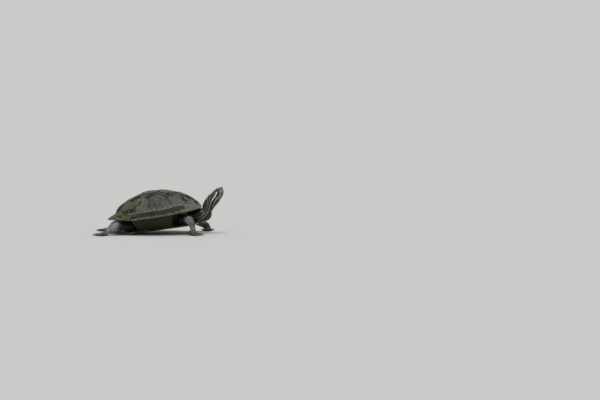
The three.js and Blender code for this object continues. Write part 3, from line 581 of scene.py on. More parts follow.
# ---------------------------------------------------------------- carapace surface
def rim_radius(turn):
    reach = np.where(cos(turn) > 0, FRONT_REACH, REAR_REACH)
    total = (abs(cos(turn)) / reach) ** PLAN_POWER + (abs(sin(turn)) / HALF_WIDTH) ** PLAN_POWER
    return total ** (-1 / PLAN_POWER)


def rim_height(turn):
    front, rear = RIM_RISE["front"] * cos(turn) ** 2, RIM_RISE["rear"] * smooth(0.45, 0.9, -cos(turn))
    return RIM_HEIGHT + np.where(cos(turn) > 0, front, rear)


def inner_share(turn):
    end = np.where(cos(turn) > 0, MARGINAL_INNER["front"], MARGINAL_INNER["rear"])
    return mix(MARGINAL_INNER["side"], end, cos(turn) ** 2)


def keel_height(x, y):
    """A low ridge along the midline, rising to a soft knob at the rear of each vertebral."""
    ends = [PLASTRON["length"], *(seam[0] for seam in VERTEBRAL_SEAMS), -PLASTRON["length"]]
    height = 0.0 * x
    for front, rear in zip(ends, ends[1:]):
        along = (front - x) / (front - rear)
        inside = (along >= 0) & (along < 1)
        height = np.where(inside, along * smooth(1.0, 0.93, along), height)
    return KEEL["height"] * height * smooth(KEEL["half"], 0, abs(y))


def dome_height(turn, share):
    endways = cos(turn) ** 2
    front = cos(turn) > 0
    plan = mix(2.2, np.where(front, 2.2, 2.0), endways)
    fall = mix(0.76, np.where(front, 0.72, 1.0), endways)

    def rise(where):
        return (DOME_TOP - rim_height(turn)) * np.maximum(0, 1 - where**plan) ** fall

    radius = rim_radius(turn) * share
    plain = rim_height(turn) + rise(share) + keel_height(POLE_X + radius * cos(turn), radius * sin(turn))
    seam = inner_share(turn)
    drop = rise(seam) - SKIRT["seam"]
    flare = rim_height(turn) + SKIRT["seam"] * (1 - share) / (1 - seam)
    sag = SKIRT["slack"] * sin(PI * np.minimum(1, share / seam)) ** 2
    fallen = plain - drop * np.exp(np.minimum(0, share - seam) / SKIRT["bend"]) - sag
    skirt = np.where(share > seam, flare, fallen)
    rearward = np.minimum(1, np.maximum(0, -cos(turn) - 0.15) / 0.6) ** 2
    return np.where(front, plain, mix(plain, skirt, rearward))


def on_carapace(plan, lift=0.0):
    """Points of the dome over plan points (x, y), lifted by lift."""
    turn = np.arctan2(plan[..., 1], plan[..., 0] - POLE_X)
    share = np.hypot(plan[..., 0] - POLE_X, plan[..., 1]) / rim_radius(turn)
    height = dome_height(turn, np.minimum(1, share)) + lift
    return np.stack([plan[..., 0], plan[..., 1], height], -1)


def ring_point(turn):
    radius = rim_radius(turn) * inner_share(turn)
    return np.stack([POLE_X + radius * cos(turn), radius * sin(turn)], -1)


TURNS = np.linspace(0, PI, 4001)
RING = ring_point(TURNS)


def turn_at_x(x):
    return np.interp(-x, -RING[:, 0], TURNS)


def turn_at_y(y, front):
    half = TURNS < PI / 2 if front else TURNS > PI / 2
    order = np.argsort(RING[half, 1])
    return np.interp(y, RING[half, 1][order], TURNS[half][order])


def marginal_turns():
    """The turns that share half the rim out evenly among the marginals of one side, from the nuchal back."""
    radius = rim_radius(TURNS)
    rim = np.stack([POLE_X + radius * cos(TURNS), radius * sin(TURNS), dome_height(TURNS, 1 + 0 * TURNS)], -1)
    length = np.concatenate([[0], np.cumsum(np.linalg.norm(np.diff(rim, axis=0), axis=1))])
    return np.interp(np.linspace(NUCHAL_HALF, length[-1], MARGINALS + 1), length, TURNS)


# ---------------------------------------------------------------- scutes of the carapace
OUTLINE_STEP = 1.1
SCUTE_RINGS = 34


def straight(a, b):
    count = max(2, round(np.hypot(*(b - a)) / OUTLINE_STEP))
    return a + (b - a) * np.linspace(0, 1, count, endpoint=False)[:, None]


def ring_stretch(start, end):
    count = max(2, round(abs(end - start) * HALF_WIDTH / OUTLINE_STEP))
    return ring_point(np.linspace(start, end, count, endpoint=False))


def scute_outlines():
    """Plan outlines of the vertebrals and of the left pleurals, front to rear."""
    front_turn = turn_at_y(FIRST_VERTEBRAL_HALF, True)
    rear_turn = turn_at_y(LAST_VERTEBRAL_HALF, False)
    front_ring, rear_ring = ring_point(front_turn), ring_point(rear_turn)
    necks, bulges = VERTEBRAL_SEAMS, PLEURAL_SEAMS
    flip = at(1, -1)
    vertebrals = []
    first = [front_ring, necks[0], necks[0] * flip, front_ring * flip]
    front = ring_stretch(-front_turn, front_turn)
    vertebrals.append([straight(*pair) for pair in zip(first, first[1:])] + [front])
    for i in range(3):
        corners = [necks[i], bulges[i], necks[i + 1]]
        corners += [corner * flip for corner in reversed(corners)]
        vertebrals.append([straight(*pair) for pair in zip(corners, corners[1:] + corners[:1])])
    last = [rear_ring * flip, necks[3] * flip, necks[3], rear_ring]
    rear = ring_stretch(rear_turn, 2 * PI - rear_turn)
    vertebrals.append([straight(*pair) for pair in zip(last, last[1:])] + [rear])
    rim_turns = [front_turn, *(turn_at_x(x) for x in PLEURAL_RIM_X), rear_turn]
    pleurals = []
    for i in range(4):
        front = front_ring if i == 0 else bulges[i - 1]
        rear = rear_ring if i == 3 else bulges[i]
        sides = [straight(front, necks[i]), straight(necks[i], rear)]
        if i < 3:
            sides.append(straight(rear, ring_point(rim_turns[i + 1])))
        sides.append(ring_stretch(rim_turns[i + 1], rim_turns[i]))
        if i > 0:
            sides.append(straight(ring_point(rim_turns[i]), front))
        pleurals.append(sides)
    return [np.concatenate(s) for s in vertebrals], [np.concatenate(s) for s in pleurals]


def wavering(outline):
    """Lets the seams away from the ring wander a little, alike on both sides of the midline."""
    folded = np.c_[outline[:, 0], abs(outline[:, 1]), np.zeros(len(outline))]
    sway = np.stack([noise(folded, 7, 71) + 0.5 * noise(folded, 3, 72), noise(folded, 7, 73)], -1)
    sway[:, 1] *= np.sign(outline[:, 1]) * smooth(0, 4, folded[:, 1])
    return outline + 0.55 * sway * smooth(0.5, 5, ring_gap(outline))[:, None]


def horn_relief(points, seed):
    """Wear on the shell: broad swells, lengthwise wrinkles and small pits, in millimetres."""
    swell = 0.36 * noise(points, 15, seed) + 0.2 * noise(points, 5.5, seed + 4)
    wrinkles = 0.14 * noise(points, at(7, 1.5, 7), seed + 1) + 0.08 * noise(points, at(3, 0.8, 3), seed + 2)
    pits = -0.16 * smooth(0.45, 0.9, noise(points, 1.6, seed + 3))
    return swell + wrinkles + pits


def vertebral_gap(plan):
    """How far plan points lie from the seam between the vertebrals and their neighbours."""
    x, half = at(*sorted(tuple(seam) for seam in VERTEBRAL_SEAMS + PLEURAL_SEAMS)).T
    seam = np.interp(plan[..., 0], x, half, LAST_VERTEBRAL_HALF, FIRST_VERTEBRAL_HALF)
    return abs(abs(plan[..., 1]) - seam)


def ring_gap(plan):
    """How far inside the ring seam plan points lie."""
    turn = np.arctan2(plan[..., 1], plan[..., 0] - POLE_X)
    return rim_radius(turn) * inner_share(turn) - np.hypot(plan[..., 0] - POLE_X, plan[..., 1])


def scute(name, outline, areola_shift, row, seed):
    """A plate of the carapace: rings grow from its areola out to its seams, where its edge rolls over."""
    lanes = len(outline)
    outline = wavering(outline)
    areola = outline.mean(0) + areola_shift
    reach = np.linalg.norm(outline - areola, axis=1)
    share = 1 - (1 - np.linspace(0, 1, SCUTE_RINGS + 1)[1:, None]) ** 1.5
    plan = areola + (outline - areola) * (share * (1 - SEAM_GAP / reach))[..., None]
    edge = gap_to_outline(plan.reshape(-1, 2), outline).reshape(share.shape[0], lanes)
    spots = on_carapace(plan)
    growth = share + 0.03 * noise(spots, 9, seed + 5)
    annuli = 0.13 * smooth(0.1, 0.5, share) * (1 - abs(sin(growth * PI * 8))) ** 2
    by_ring = smooth(5.5, 2.5, ring_gap(plan))
    seam = mix(mix(0.3, 0.6, row), 1, smooth(5, 2, vertebral_gap(plan))) * (1 - 0.9 * by_ring)
    furrow = mix(0.12, 0.9, seam) * np.exp(-((edge / mix(0.65, 0.95, seam)) ** 1.4))
    crown = 0.35 * smooth(0, 9, edge)
    lift = horn_relief(spots, seed) - annuli - furrow + crown - 0.3
    top = on_carapace(plan, lift)
    wall = np.stack([top[-1] - at(0, 0, depth) for depth in (0.5 * PLATE_DEPTH, PLATE_DEPTH)])
    middle = on_carapace(areola[None], lift[:1].mean(1))
    points = np.concatenate([middle, top.reshape(-1, 3), wall.reshape(-1, 3)])
    points = np.concatenate([points, on_carapace(areola[None], -PLATE_DEPTH)])
    count = len(points)
    faces = tube_faces(len(share) + 2, lanes, (0, count - 1), start=1)
    used = slice(1, 1 + edge.size)
    values = {key: np.zeros(count) for key in ("share", "edge", "under", "seam", "worn")}
    values["share"][used], values["seam"][used] = np.repeat(share, lanes), seam.ravel()
    values["edge"][used], values["edge"][0] = edge.ravel(), 9
    values["worn"][used] = (by_ring * smooth(1.5, 0.4, edge)).ravel()
    # The walls and underside of the plate take under, which paints them in shade.
    values["under"][1 + edge.size :] = 1
    values["row"] = np.full(count, row)
    placed = turned(points, SHELL_PITCH, SHELL_PLACE)
    solid_piece(name, placed, faces, HORN, "carapace", [name], **values)


def gap_to_outline(points, outline):
    """Distance of plan points from a closed outline."""
    ends = np.roll(outline, -1, 0)
    run = ends - outline
    gap = np.full(len(points), 1e9)
    for start, step in zip(outline, run):
        share = np.clip((points - start) @ step / max(step @ step, 1e-9), 0, 1)
        gap = np.minimum(gap, np.linalg.norm(points - start - share[:, None] * step, axis=1))
    return gap


def marginal(name, start, end, seed):
    """A marginal scute between two turns: its top, a rounded edge, its underside and a wall at the seam."""
    trim = SEAM_GAP / HALF_WIDTH
    rows, tops, unders = 44, 22, 14
    turn = np.linspace(start + trim, end - trim, rows)[:, None]
    inner = inner_share(turn) + SEAM_GAP / rim_radius(turn)
    across = (turn - start) / (end - start)
    rearness = smooth(1.9, 2.6, abs(turn))
    notch = 0.02 * rearness * abs(2 * across - 1) ** 6
    rim = 0.99 - notch
    along = np.linspace(0, 1, tops)[None] ** 0.8
    share = inner + (rim - 0.006 - inner) * along
    side_gap = np.minimum(turn - start, end - turn) * rim_radius(turn) * share
    seam_gap = (share - inner) * rim_radius(turn)
    edge = np.minimum(side_gap, seam_gap)

    def spot(where, height):
        radius = rim_radius(turn) * where
        return np.stack(np.broadcast_arrays(POLE_X + radius * cos(turn), radius * sin(turn), height), -1)

    flat = spot(share, 0 * share)
    growth = (1 - along) + 0.03 * noise(flat, 7, seed)
    annuli = 0.12 * (1 - abs(sin(growth * PI * 5))) ** 2
    furrow = 0.16 * np.exp(-((side_gap / 0.5) ** 1.4)) + 0.12 * np.exp(-((seam_gap / 0.5) ** 1.4))
    lift = horn_relief(flat, seed) - annuli - furrow + 0.25 * smooth(0, 6, edge) - 0.25
    top_height = dome_height(turn, share) + lift
    under = rim_height(turn) - 1.3
    rim_top = top_height[:, -1:]
    angle = np.linspace(0.15, 0.95, 7)[None] * PI
    edge_half = (rim_top - under) / 2
    edge_share = rim - 0.006 + 0.012 * sin(angle)
    edge_height = under + edge_half * (1 + cos(angle))
    deep = np.linspace(0, 1, unders)[None]
    under_share = mix(rim - 0.006, mix(inner, 1, 0.3), deep)
    under_height = under + 0.9 * deep + 0.25 * noise(spot(under_share, 0 * under_share), 6, seed + 9)
    wall_share = inner + 0.012 * np.linspace(1, 0.2, 3)[None]
    wall_height = mix(under, top_height[:, :1], np.linspace(0.4, 0.9, 3)[None])
    rings = np.concatenate(
        [
            spot(share, top_height),
            spot(edge_share, edge_height),
            spot(under_share, under_height),
            spot(wall_share, wall_height),
        ],
        1,
    )
    points, faces = ring_tube(rings)

    def painted(*stretches):
        """Values over the whole plate, from (first lane, value of the lanes from there on)."""
        field = np.zeros(rings.shape[:2])
        for first, value in stretches:
            field[:, first:] = value
        return np.r_[field.ravel(), 0, 0]

    def top_and_rest(top, *rest):
        lanes = rings.shape[1] - tops
        return painted((0, np.pad(np.broadcast_to(top, (rows, tops)), ((0, 0), (0, lanes)))), *rest)

    by_rim = np.maximum(smooth(1.9, 0.5, seam_gap), 0.8 * smooth(0.92, 0.98, along))
    values = {
        "share": top_and_rest(along, (tops, 1)),
        "edge": top_and_rest(edge, (tops, side_gap[:, -1:])),
        "worn": top_and_rest(by_rim, (tops, 0.8), (tops + 4, 0)),
        # Painted shade: under darkens the marginal's underside and its wall at the seam.
        "under": painted((tops + 6, 0.55)),
        "seam": painted((0, 0.15)),
        "row": painted(),
    }
    placed = turned(points, SHELL_PITCH, SHELL_PLACE)
    solid_piece(name, placed, faces, HORN, "carapace", [name], **values)


def build_carapace():
    vertebrals, pleurals = scute_outlines()
    for i, outline in enumerate(vertebrals):
        scute(f"vertebral_{i + 1}", outline, at(-4, 0), 1.0, 10 * i)
    for i, outline in enumerate(pleurals):
        scute(f"pleural_left_{i + 1}", outline, at(-4, -6), 0.5, 100 + 10 * i)
        scute(f"pleural_right_{i + 1}", (outline * at(1, -1))[::-1], at(-4, 6), 0.5, 200 + 10 * i)
    turns = marginal_turns()
    marginal("nuchal", -turns[0], turns[0], 300)
    for i in range(MARGINALS):
        marginal(f"marginal_left_{i + 1}", turns[i], turns[i + 1], 310 + i)
        marginal(f"marginal_right_{i + 1}", -turns[i + 1], -turns[i], 340 + i)


# ---------------------------------------------------------------- plastron
def plastron_half(x):
    end = np.where(x > 0, PLASTRON["front_half"], PLASTRON["rear_half"])
    lobe = end * np.maximum(0, 1 - abs(x / (PLASTRON["length"] + 2)) ** 5) ** 0.5
    from_ends = np.minimum(BRIDGE["front"] - x, x - BRIDGE["rear"]) / BRIDGE["ramp"]
    return lobe + (BRIDGE["half"] - lobe) * smooth(-0.5, 0.5, from_ends)


def plastron_spot(x, y):
    """Where a plan point of the plastron really lies: its x, fanned out at the bridges, and its height."""
    out = np.maximum(0, abs(y) - BRIDGE["start"]) / (BRIDGE["half"] - BRIDGE["start"])
    on = np.maximum(0, abs(x) - PLASTRON["flat_to"]) / (PLASTRON["length"] - PLASTRON["flat_to"])
    rise = np.where(x > 0, PLASTRON["front_rise"], PLASTRON["rear_rise"])
    front = BRIDGE_FAN["front"] * np.minimum(1, x / BRIDGE["front"])
    rear = BRIDGE_FAN["rear"] * np.minimum(1, x / BRIDGE["rear"])
    placed = x + np.where(x > 0, front, rear) * out**2
    rim = rim_height(np.arctan2(y, placed - POLE_X)) - RIM_HEIGHT
    return placed, BRIDGE["rise"] * out**1.25 + rim * out + rise * on**2 + 0.8 * smooth(0.93, 1, out)


def plastron_plate(name, front, rear, side, seed):
    """Half of a band of the plastron, from the midline seam out to its edge."""
    rows, lanes = 44, 44
    along = np.linspace(0, 1, rows)[:, None]
    across = np.linspace(0, 1, lanes)[None]
    start = front[0] + front[1] * across**2 - SEAM_GAP
    end = rear[0] + rear[1] * across**2 + SEAM_GAP
    x = mix(start, end, along)
    y = SEAM_GAP + across * (plastron_half(x) - SEAM_GAP)
    length, width = start - end, plastron_half(x)
    edge = np.minimum(np.minimum(along, 1 - along) * length, across * width)
    edge = edge + 0 * y
    outer = (1 - across) * width + 0 * y
    if front[0] == PLASTRON["length"]:
        outer = np.minimum(outer, along * length)
    if rear[0] == -PLASTRON["length"]:
        outer = np.minimum(outer, (1 - along) * length)
    spots = np.stack([x, y * side, 0 * x], -1)
    share = np.maximum(abs(2 * along - 1), abs(2 * across - 1)) + 0 * y
    relief = 0.12 * noise(spots, 11, seed) + 0.05 * noise(spots, at(3, 1, 3), seed + 1)
    relief = relief - 0.06 * (1 - abs(sin(share * PI * 4))) ** 2
    seam = 0.4 * np.exp(-((edge / 0.7) ** 1.4)) * smooth(0.5, 4, outer)
    rise = seam + 0.7 * np.exp(-((outer / 0.9) ** 1.4)) + 0.12 - relief
    placed, height = plastron_spot(x, y)
    low = np.stack([placed, y * side, height + rise], -1)
    high = np.stack([placed, y * side, height + PLATE_DEPTH + 0.2], -1)
    low, high = (turned(grid, SHELL_PITCH, SHELL_PLACE).reshape(-1, 3) for grid in (low, high))
    low[:, 2], high[:, 2] = np.maximum(low[:, 2], 0), np.maximum(high[:, 2], 0.6)
    values = {"share": np.tile(share.ravel(), 2), "edge": np.tile(edge.ravel(), 2)}
    points = np.concatenate([low, high])
    return solid_piece(name, points, slab_faces(rows, lanes), PLASTRON_HORN, "plastron", **values)


def build_plastron():
    front = (PLASTRON["length"], 0)
    for i, (name, x, bend) in enumerate(PLASTRON_SEAMS):
        for word, side in (("left", 1), ("right", -1)):
            piece = plastron_plate(f"plastron_{name}_{word}", front, (x, bend), side, 400 + 7 * i)
            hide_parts(f"plastron_{name}")
        front = (x, bend)


# ---------------------------------------------------------------- bodies swept through stations
def curve(points, count):
    """Points along a centripetal Catmull-Rom curve through the given ones, evenly in station number."""
    points = np.asarray(points, float)
    ends = np.concatenate([2 * points[:1] - points[1:2], points, 2 * points[-1:] - points[-2:-1]])
    where = np.linspace(0, len(points) - 1, count)
    cell = np.minimum(where.astype(int), len(points) - 2)
    t = (where - cell)[:, None]
    p0, p1, p2, p3 = (ends[cell + k] for k in range(4))
    gaps = (np.linalg.norm(b - a, axis=1, keepdims=True) for a, b in ((p0, p1), (p1, p2), (p2, p3)))
    d0, d1, d2 = (np.maximum(gap, 1e-8) ** 0.5 for gap in gaps)
    t1 = ((p1 - p0) / d0 - (p2 - p0) / (d0 + d1) + (p2 - p1) / d1) * d1
    t2 = ((p2 - p1) / d1 - (p3 - p1) / (d1 + d2) + (p3 - p2) / d2) * d1
    return p1 + t1 * t + (3 * (p2 - p1) - 2 * t1 - t2) * t**2 + (2 * (p1 - p2) + t1 + t2) * t**3


class Sweep:
    """A body swept through stations (x, y, z, half its width, half its height), with its own lie."""

    def __init__(self, name, stations, broad, count=60):
        data = at(*stations)
        self.name = name
        self.centre = curve(data[:, :3], count)
        self.size = curve(np.c_[data[:, 3:5], 0 * data[:, 3]], count)[:, :2]
        self.along = unit(np.gradient(self.centre, axis=0))
        self.side = unit(broad - (self.along @ broad)[:, None] * self.along)
        self.up = np.cross(self.along, self.side)
        steps = np.linalg.norm(np.diff(self.centre, axis=0), axis=1)
        self.length = np.concatenate([[0], np.cumsum(steps)])

    def moved(self, matrix, place):
        self.centre = self.centre @ matrix.T + place
        self.along, self.side, self.up = (v @ matrix.T for v in (self.along, self.side, self.up))
        return self

    def rings(self, lanes=40, shrink=SKIN_DEPTH):
        turn = np.linspace(0, 2 * PI, lanes, endpoint=False)[None, :, None]
        wide, high = ((self.size[:, k] - shrink)[:, None, None] for k in (0, 1))
        round_it = self.side[:, None] * wide * cos(turn) + self.up[:, None] * high * sin(turn)
        return self.centre[:, None] + round_it


SIDEWAYS = at(0, 1, 0)
# The neck's last station is a little smaller than the solid's and lower, so that it ends inside the head.
NECK = [
    (56, 0, 39, 21, 14),
    (79, 0, 41.2, 21, 15.2),
    (95, 0, 43.3, 19, 15.2),
    (106.5, 0, 44, 16.5, 15.5),
    (110.6, 0, 54.2, 14, 12.5),
    (114.4, 0, 63.4, 13.4, 13.8),
    (122.5, 0, 77.9, 13, 14.4),
]
TAIL = [(-84, 0, 20, 9.5, 8), (-100, 1, 15.5, 7, 6), (-114, 7, 9.5, 4.8, 4.4), (-123, 18, 5, 3, 3)]
TAIL += [(-125, 29, 2.2, 1.2, 1.4)]
# Stations from inside the trunk to the wrist or ankle, the way its breadth lies, and where the foot stands
# and how many degrees it is turned.
LIMBS = {
    "right_fore": (
        [
            (54, -38, 37, 15, 10.5),
            (69, -54, 36, 11.5, 9),
            (76.5, -61, 27, 8, 7.2),
            (79.5, -63.5, 15.5, 6.5, 5.5),
            (81, -64.5, 6.5, 7, 5),
        ],
        at(1, 0.5, 0),
        at(80, -65, 0),
        -33,
    ),
    "left_fore": (
        [
            (55, 36, 35, 12, 10),
            (76, 48, 28, 10, 9.4),
            (93, 54, 21, 9, 8.4),
            (106.5, 58.5, 14, 8.6, 8.2),
            (113, 61.5, 6.6, 8.4, 5.8),
        ],
        at(0, 1, 0),
        at(111.5, 62.8, 0),
        95,
    ),
    "right_hind": (
        [
            (-60, -36, 21, 14, 11),
            (-79, -49, 20.5, 13, 11),
            (-95, -58, 19, 11.6, 11),
            (-110, -63, 13.5, 9.6, 8.4),
            (-118.6, -65.8, 8, 9, 6),
        ],
        at(-0.4, 1, 0),
        at(-121.8, -66.3, 0),
        223,
    ),
    "left_hind": (
        [
            (-60, 36, 22, 14, 11),
            (-81, 46, 22, 13, 11),
            (-97, 52, 19, 11.4, 10.6),
            (-109, 57, 13.4, 9.6, 8.2),
            (-116, 60, 8, 9, 6),
        ],
        at(0.4, 1, 0),
        at(-119.5, 60.5, 0),
        152,
    ),
}
# Foot frame: on the floor under the wrist or ankle, x along the middle toe. Toes: y, turn, length, claw.
FEET = {
    "fore": {
        "palm": [(-10.5, 0, 8, 4, 3), (-7, 0, 7, 7, 5), (0, 0, 4.2, 8.8, 4.8)]
        + [(8, 0, 3.2, 10.6, 4), (14, 0, 2.6, 9.6, 3)],
        "toes": [(-7.6, -38, 7.5, 7.5), (-4, -19, 10, 9), (0, 0, 11, 9.5)]
        + [(4, 18, 10, 9), (7.4, 38, 7.5, 7.5)],
        "start": 9,
        "radius": 2.5,
        "web": 0.35,
    },
    "hind": {
        "palm": [(-12, 0, 8.6, 4.5, 3.4), (-8, 0, 7.6, 8, 5.4), (0, 0, 4.6, 9, 5.2)]
        + [(9, 0, 3.4, 11, 4.2), (15, 0, 2.6, 11, 3)],
        "toes": [(-7.5, -40, 11, 6), (-4, -20, 15, 7), (0, 0, 16, 7)]
        + [(4, 20, 14.5, 6.5), (7.5, 42, 11, 0)],
        "start": 10,
        "radius": 2.6,
        "web": 0.8,
    },
}


def foot_frame(turn):
    """Matrix that turns a foot about the upright axis, by degrees."""
    angle = np.radians(turn)
    return np.array([[cos(angle), -sin(angle), 0], [sin(angle), cos(angle), 0], [0, 0, 1]])


def toe_sweeps(foot, name):
    """The toes without their claws, in the foot's frame, and the stations of each claw."""
    toes, claws = [], []
    for i, (y, turn, length, claw) in enumerate(foot["toes"]):
        way = at(cos(np.radians(turn)), sin(np.radians(turn)), 0)
        across = at(-way[1], way[0], 0)
        radius = foot["radius"]

        def out(far, height, wide, high):
            return (*(at(foot["start"], y, height) + way * far), wide, high)

        stations = [
            out(-4, 3.4, radius, radius),
            out(length * 0.5, radius + 0.5, radius, radius + 0.2),
            out(length * 0.86, radius + 0.1, radius * 0.86, radius * 0.92),
            out(length + 0.4, radius, radius * 0.62, radius * 0.62),
        ]
        toes.append(Sweep(f"{name}_toe_{i}", stations, across, 24))
        if claw:
            stations = [
                out(length - 1.2, radius + 0.2, 1.15, 1.25),
                out(length + claw * 0.25, radius + 0.5, 1.15, 1.3),
                out(length + claw * 0.55, 2.35, 0.8, 1.0),
                out(length + claw * 0.85, 1.25, 0.42, 0.55),
                out(length + claw, 0.5, 0.12, 0.16),
            ]
            claws.append(Sweep(f"{name}_claw_{i}", stations, across, 26))
    return toes, claws


def web_sheet(foot):
    """The web between the toes: a fan with its free edge drawn in, thick at the palm and thin at the edge."""
    spots = []
    for y, turn, length, _ in foot["toes"]:
        angle, out = np.radians(turn), length * foot["web"]
        here = at(foot["start"] + cos(angle) * out, y + sin(angle) * out)
        if spots:
            spots.append((here + spots[-1]) / 2 * at(0.86, 1))
        spots.append(here)
    edge = curve(spots, 41)
    share = np.linspace(0, 1, 12)[:, None, None]
    start = np.stack([0 * edge[:, 0] + 2, edge[:, 1] * 0.5], -1)
    plan = mix(start[None], edge[None], share)
    half = mix(1.3, 0.55, share[..., 0]) + 0 * plan[..., 0]
    middle = 1.9 + 0 * half
    low = np.stack([plan[..., 0], plan[..., 1], middle - half], -1)
    high = np.stack([plan[..., 0], plan[..., 1], middle + half], -1)
    return np.concatenate([low.reshape(-1, 3), high.reshape(-1, 3)]), slab_faces(*half.shape)


# ---------------------------------------------------------------- head
# How far from the skull's back, half its width, and its top and bottom lines, in the head's frame.
HEAD = [
    (-5, 13.6, 11.6, -16),
    (2, 15.2, 13.4, -16.6),
    (8, 16.3, 14.1, -16),
    (15, 15.8, 14.4, -14.8),
    (22, 13.4, 14.4, -12.8),
    (29, 10.9, 13.6, -10.8),
    (34.5, 8.2, 11.9, -9),
    (38.5, 5.9, 10.2, -7.4),
    (41, 3.9, 8.8, -5.8),
    (42, 2, 7.4, -3.6),
]
SNOUT_RAKE = 0.4


def head_rings(lanes=64, count=90):
    data = at(*HEAD)
    where = np.interp(np.linspace(0, 1, count), np.linspace(0, 1, len(data)), np.arange(len(data)))
    rows = np.stack([np.interp(where, np.arange(len(data)), data[:, k]) for k in range(4)], -1)
    lean = SNOUT_RAKE * np.maximum(0, rows[:, 0] / data[-1, 0]) ** 2
    turn = np.linspace(0, 2 * PI, lanes, endpoint=False)[None]
    fullness = np.where(sin(turn) > 0, 0.86, 0.95)
    half = rows[:, 1:2] - SKIN_DEPTH
    high = (rows[:, 2:3] - rows[:, 3:4]) / 2 - SKIN_DEPTH
    y = half * np.sign(cos(turn)) * abs(cos(turn)) ** fullness
    z = (rows[:, 2:3] + rows[:, 3:4]) / 2 + high * np.sign(sin(turn)) * abs(sin(turn)) ** fullness
    x = rows[:, :1] + lean[:, None] * (z - data[-1, 2])
    return np.stack([x, y, z], -1)


TRUNK_TOP = [(0.02, 9.3), (0.4, 9.3), (0.66, 8.3), (0.79, 7.3)]
TRUNK_WALL_AT_BRIDGE = 0.87
TRUNK_FLOOR = {"length": 74, "width": 36, "squareness": 3, "bevel": 3}
# Heights below the wall, and how far out the trunk reaches there at the bridges.
TRUNK_LEVELS = [(26, 70), (11, 53), (4.5, 37)]


def trunk_rings(lanes=72):
    """The body inside the shell, as in the solids, in the shell's frame."""
    turn = np.linspace(0, 2 * PI, lanes, endpoint=False)
    length, width, squareness, bevel = TRUNK_FLOOR.values()
    total = (abs(cos(turn)) / length) ** squareness + (abs(sin(turn)) / width) ** squareness
    floor = total ** (-1 / squareness)
    fill = smooth(0.64, 0.48, abs(cos(turn)))
    lowest, depth = TRUNK_TOP[-1]
    wall_share = mix(lowest, TRUNK_WALL_AT_BRIDGE, fill)
    wall = rim_radius(turn) * wall_share - SKIN_DEPTH
    levels = [(rim_radius(turn) * s, dome_height(turn, s + 0 * turn) - deep) for s, deep in TRUNK_TOP[:-1]]
    levels.append((wall, dome_height(turn, wall_share) - depth))
    reaches = mix(floor, wall, 0.5), floor, floor - bevel
    for (height, bridge), reach in zip(TRUNK_LEVELS, reaches):
        levels.append((mix(reach, bridge, fill) - SKIN_DEPTH, height + 0 * turn))
    return np.stack([np.stack([POLE_X + r * cos(turn), r * sin(turn), z], -1) for r, z in levels])


# ---------------------------------------------------------------- skin
def joined_flesh():
    """All the flesh as one mesh of overlapping closed bodies, and the sweeps that give each part its lie."""
    bodies = [ring_tube(turned(head_rings(), HEAD_PITCH, HEAD_PLACE))]
    bodies.append(ring_tube(turned(trunk_rings(), SHELL_PITCH, SHELL_PLACE)))
    sweeps = [Sweep("neck", NECK, SIDEWAYS), Sweep("tail", TAIL, SIDEWAYS)]
    claws = {}
    for name, (stations, broad, place, turn) in LIMBS.items():
        foot = FEET[name.split("_")[1]]
        matrix = foot_frame(turn)
        sweeps.append(Sweep(f"{name}_leg", stations, broad))
        sweeps.append(Sweep(f"{name}_palm", foot["palm"], SIDEWAYS, 30).moved(matrix, place))
        toes, nails = toe_sweeps(foot, name)
        sweeps += [toe.moved(matrix, place) for toe in toes]
        claws[name] = [nail.moved(matrix, place) for nail in nails]
        points, faces = web_sheet(foot)
        bodies.append((points @ matrix.T + place, faces))
    bodies += [ring_tube(sweep.rings()) for sweep in sweeps]
    points, faces, count = [], [], 0
    for some, theirs in bodies:
        points.append(some)
        faces += [[i + count for i in face] for face in theirs]
        count += len(some)
    return np.concatenate(points), faces, sweeps, claws


def remeshed(points, faces):
    """One closed surface round all the bodies, of even quads."""
    mesh = bpy.data.meshes.new("flesh")
    mesh.from_pydata((points * MM).tolist(), [], faces)
    source = bpy.data.objects.new("flesh", mesh)
    bpy.context.scene.collection.objects.link(source)
    face_out(source)
    modifier = source.modifiers.new("union", "REMESH")
    modifier.mode = "VOXEL"
    modifier.voxel_size = VOXEL * MM
    evaluated = source.evaluated_get(bpy.context.evaluated_depsgraph_get())
    made = bpy.data.meshes.new_from_object(evaluated)
    bpy.data.objects.remove(source)
    return made


def refined(mesh, chosen, cuts=1):
    """Splits the edges of the faces whose points are all chosen."""
    body = bmesh.new()
    body.from_mesh(mesh)
    body.verts.ensure_lookup_table()
    for vertex, wanted in zip(body.verts, chosen):
        vertex.select = bool(wanted)
    edges = [edge for edge in body.edges if edge.verts[0].select and edge.verts[1].select]
    bmesh.ops.subdivide_edges(body, edges=edges, cuts=cuts, use_grid_fill=True)
    bmesh.ops.triangulate(body, faces=[face for face in body.faces if len(face.verts) > 4])
    body.to_mesh(mesh)
    body.free()


def points_of(mesh):
    flat = np.empty(len(mesh.vertices) * 3, np.float32)
    mesh.vertices.foreach_get("co", flat)
    return flat.reshape(-1, 3).astype(float) / MM


def set_points(mesh, points):
    mesh.vertices.foreach_set("co", (points * MM).astype(np.float32).ravel())
    mesh.update()


def normals_of(mesh):
    flat = np.empty(len(mesh.vertices) * 3, np.float32)
    mesh.vertex_normals.foreach_get("vector", flat)
    return flat.reshape(-1, 3).astype(float)


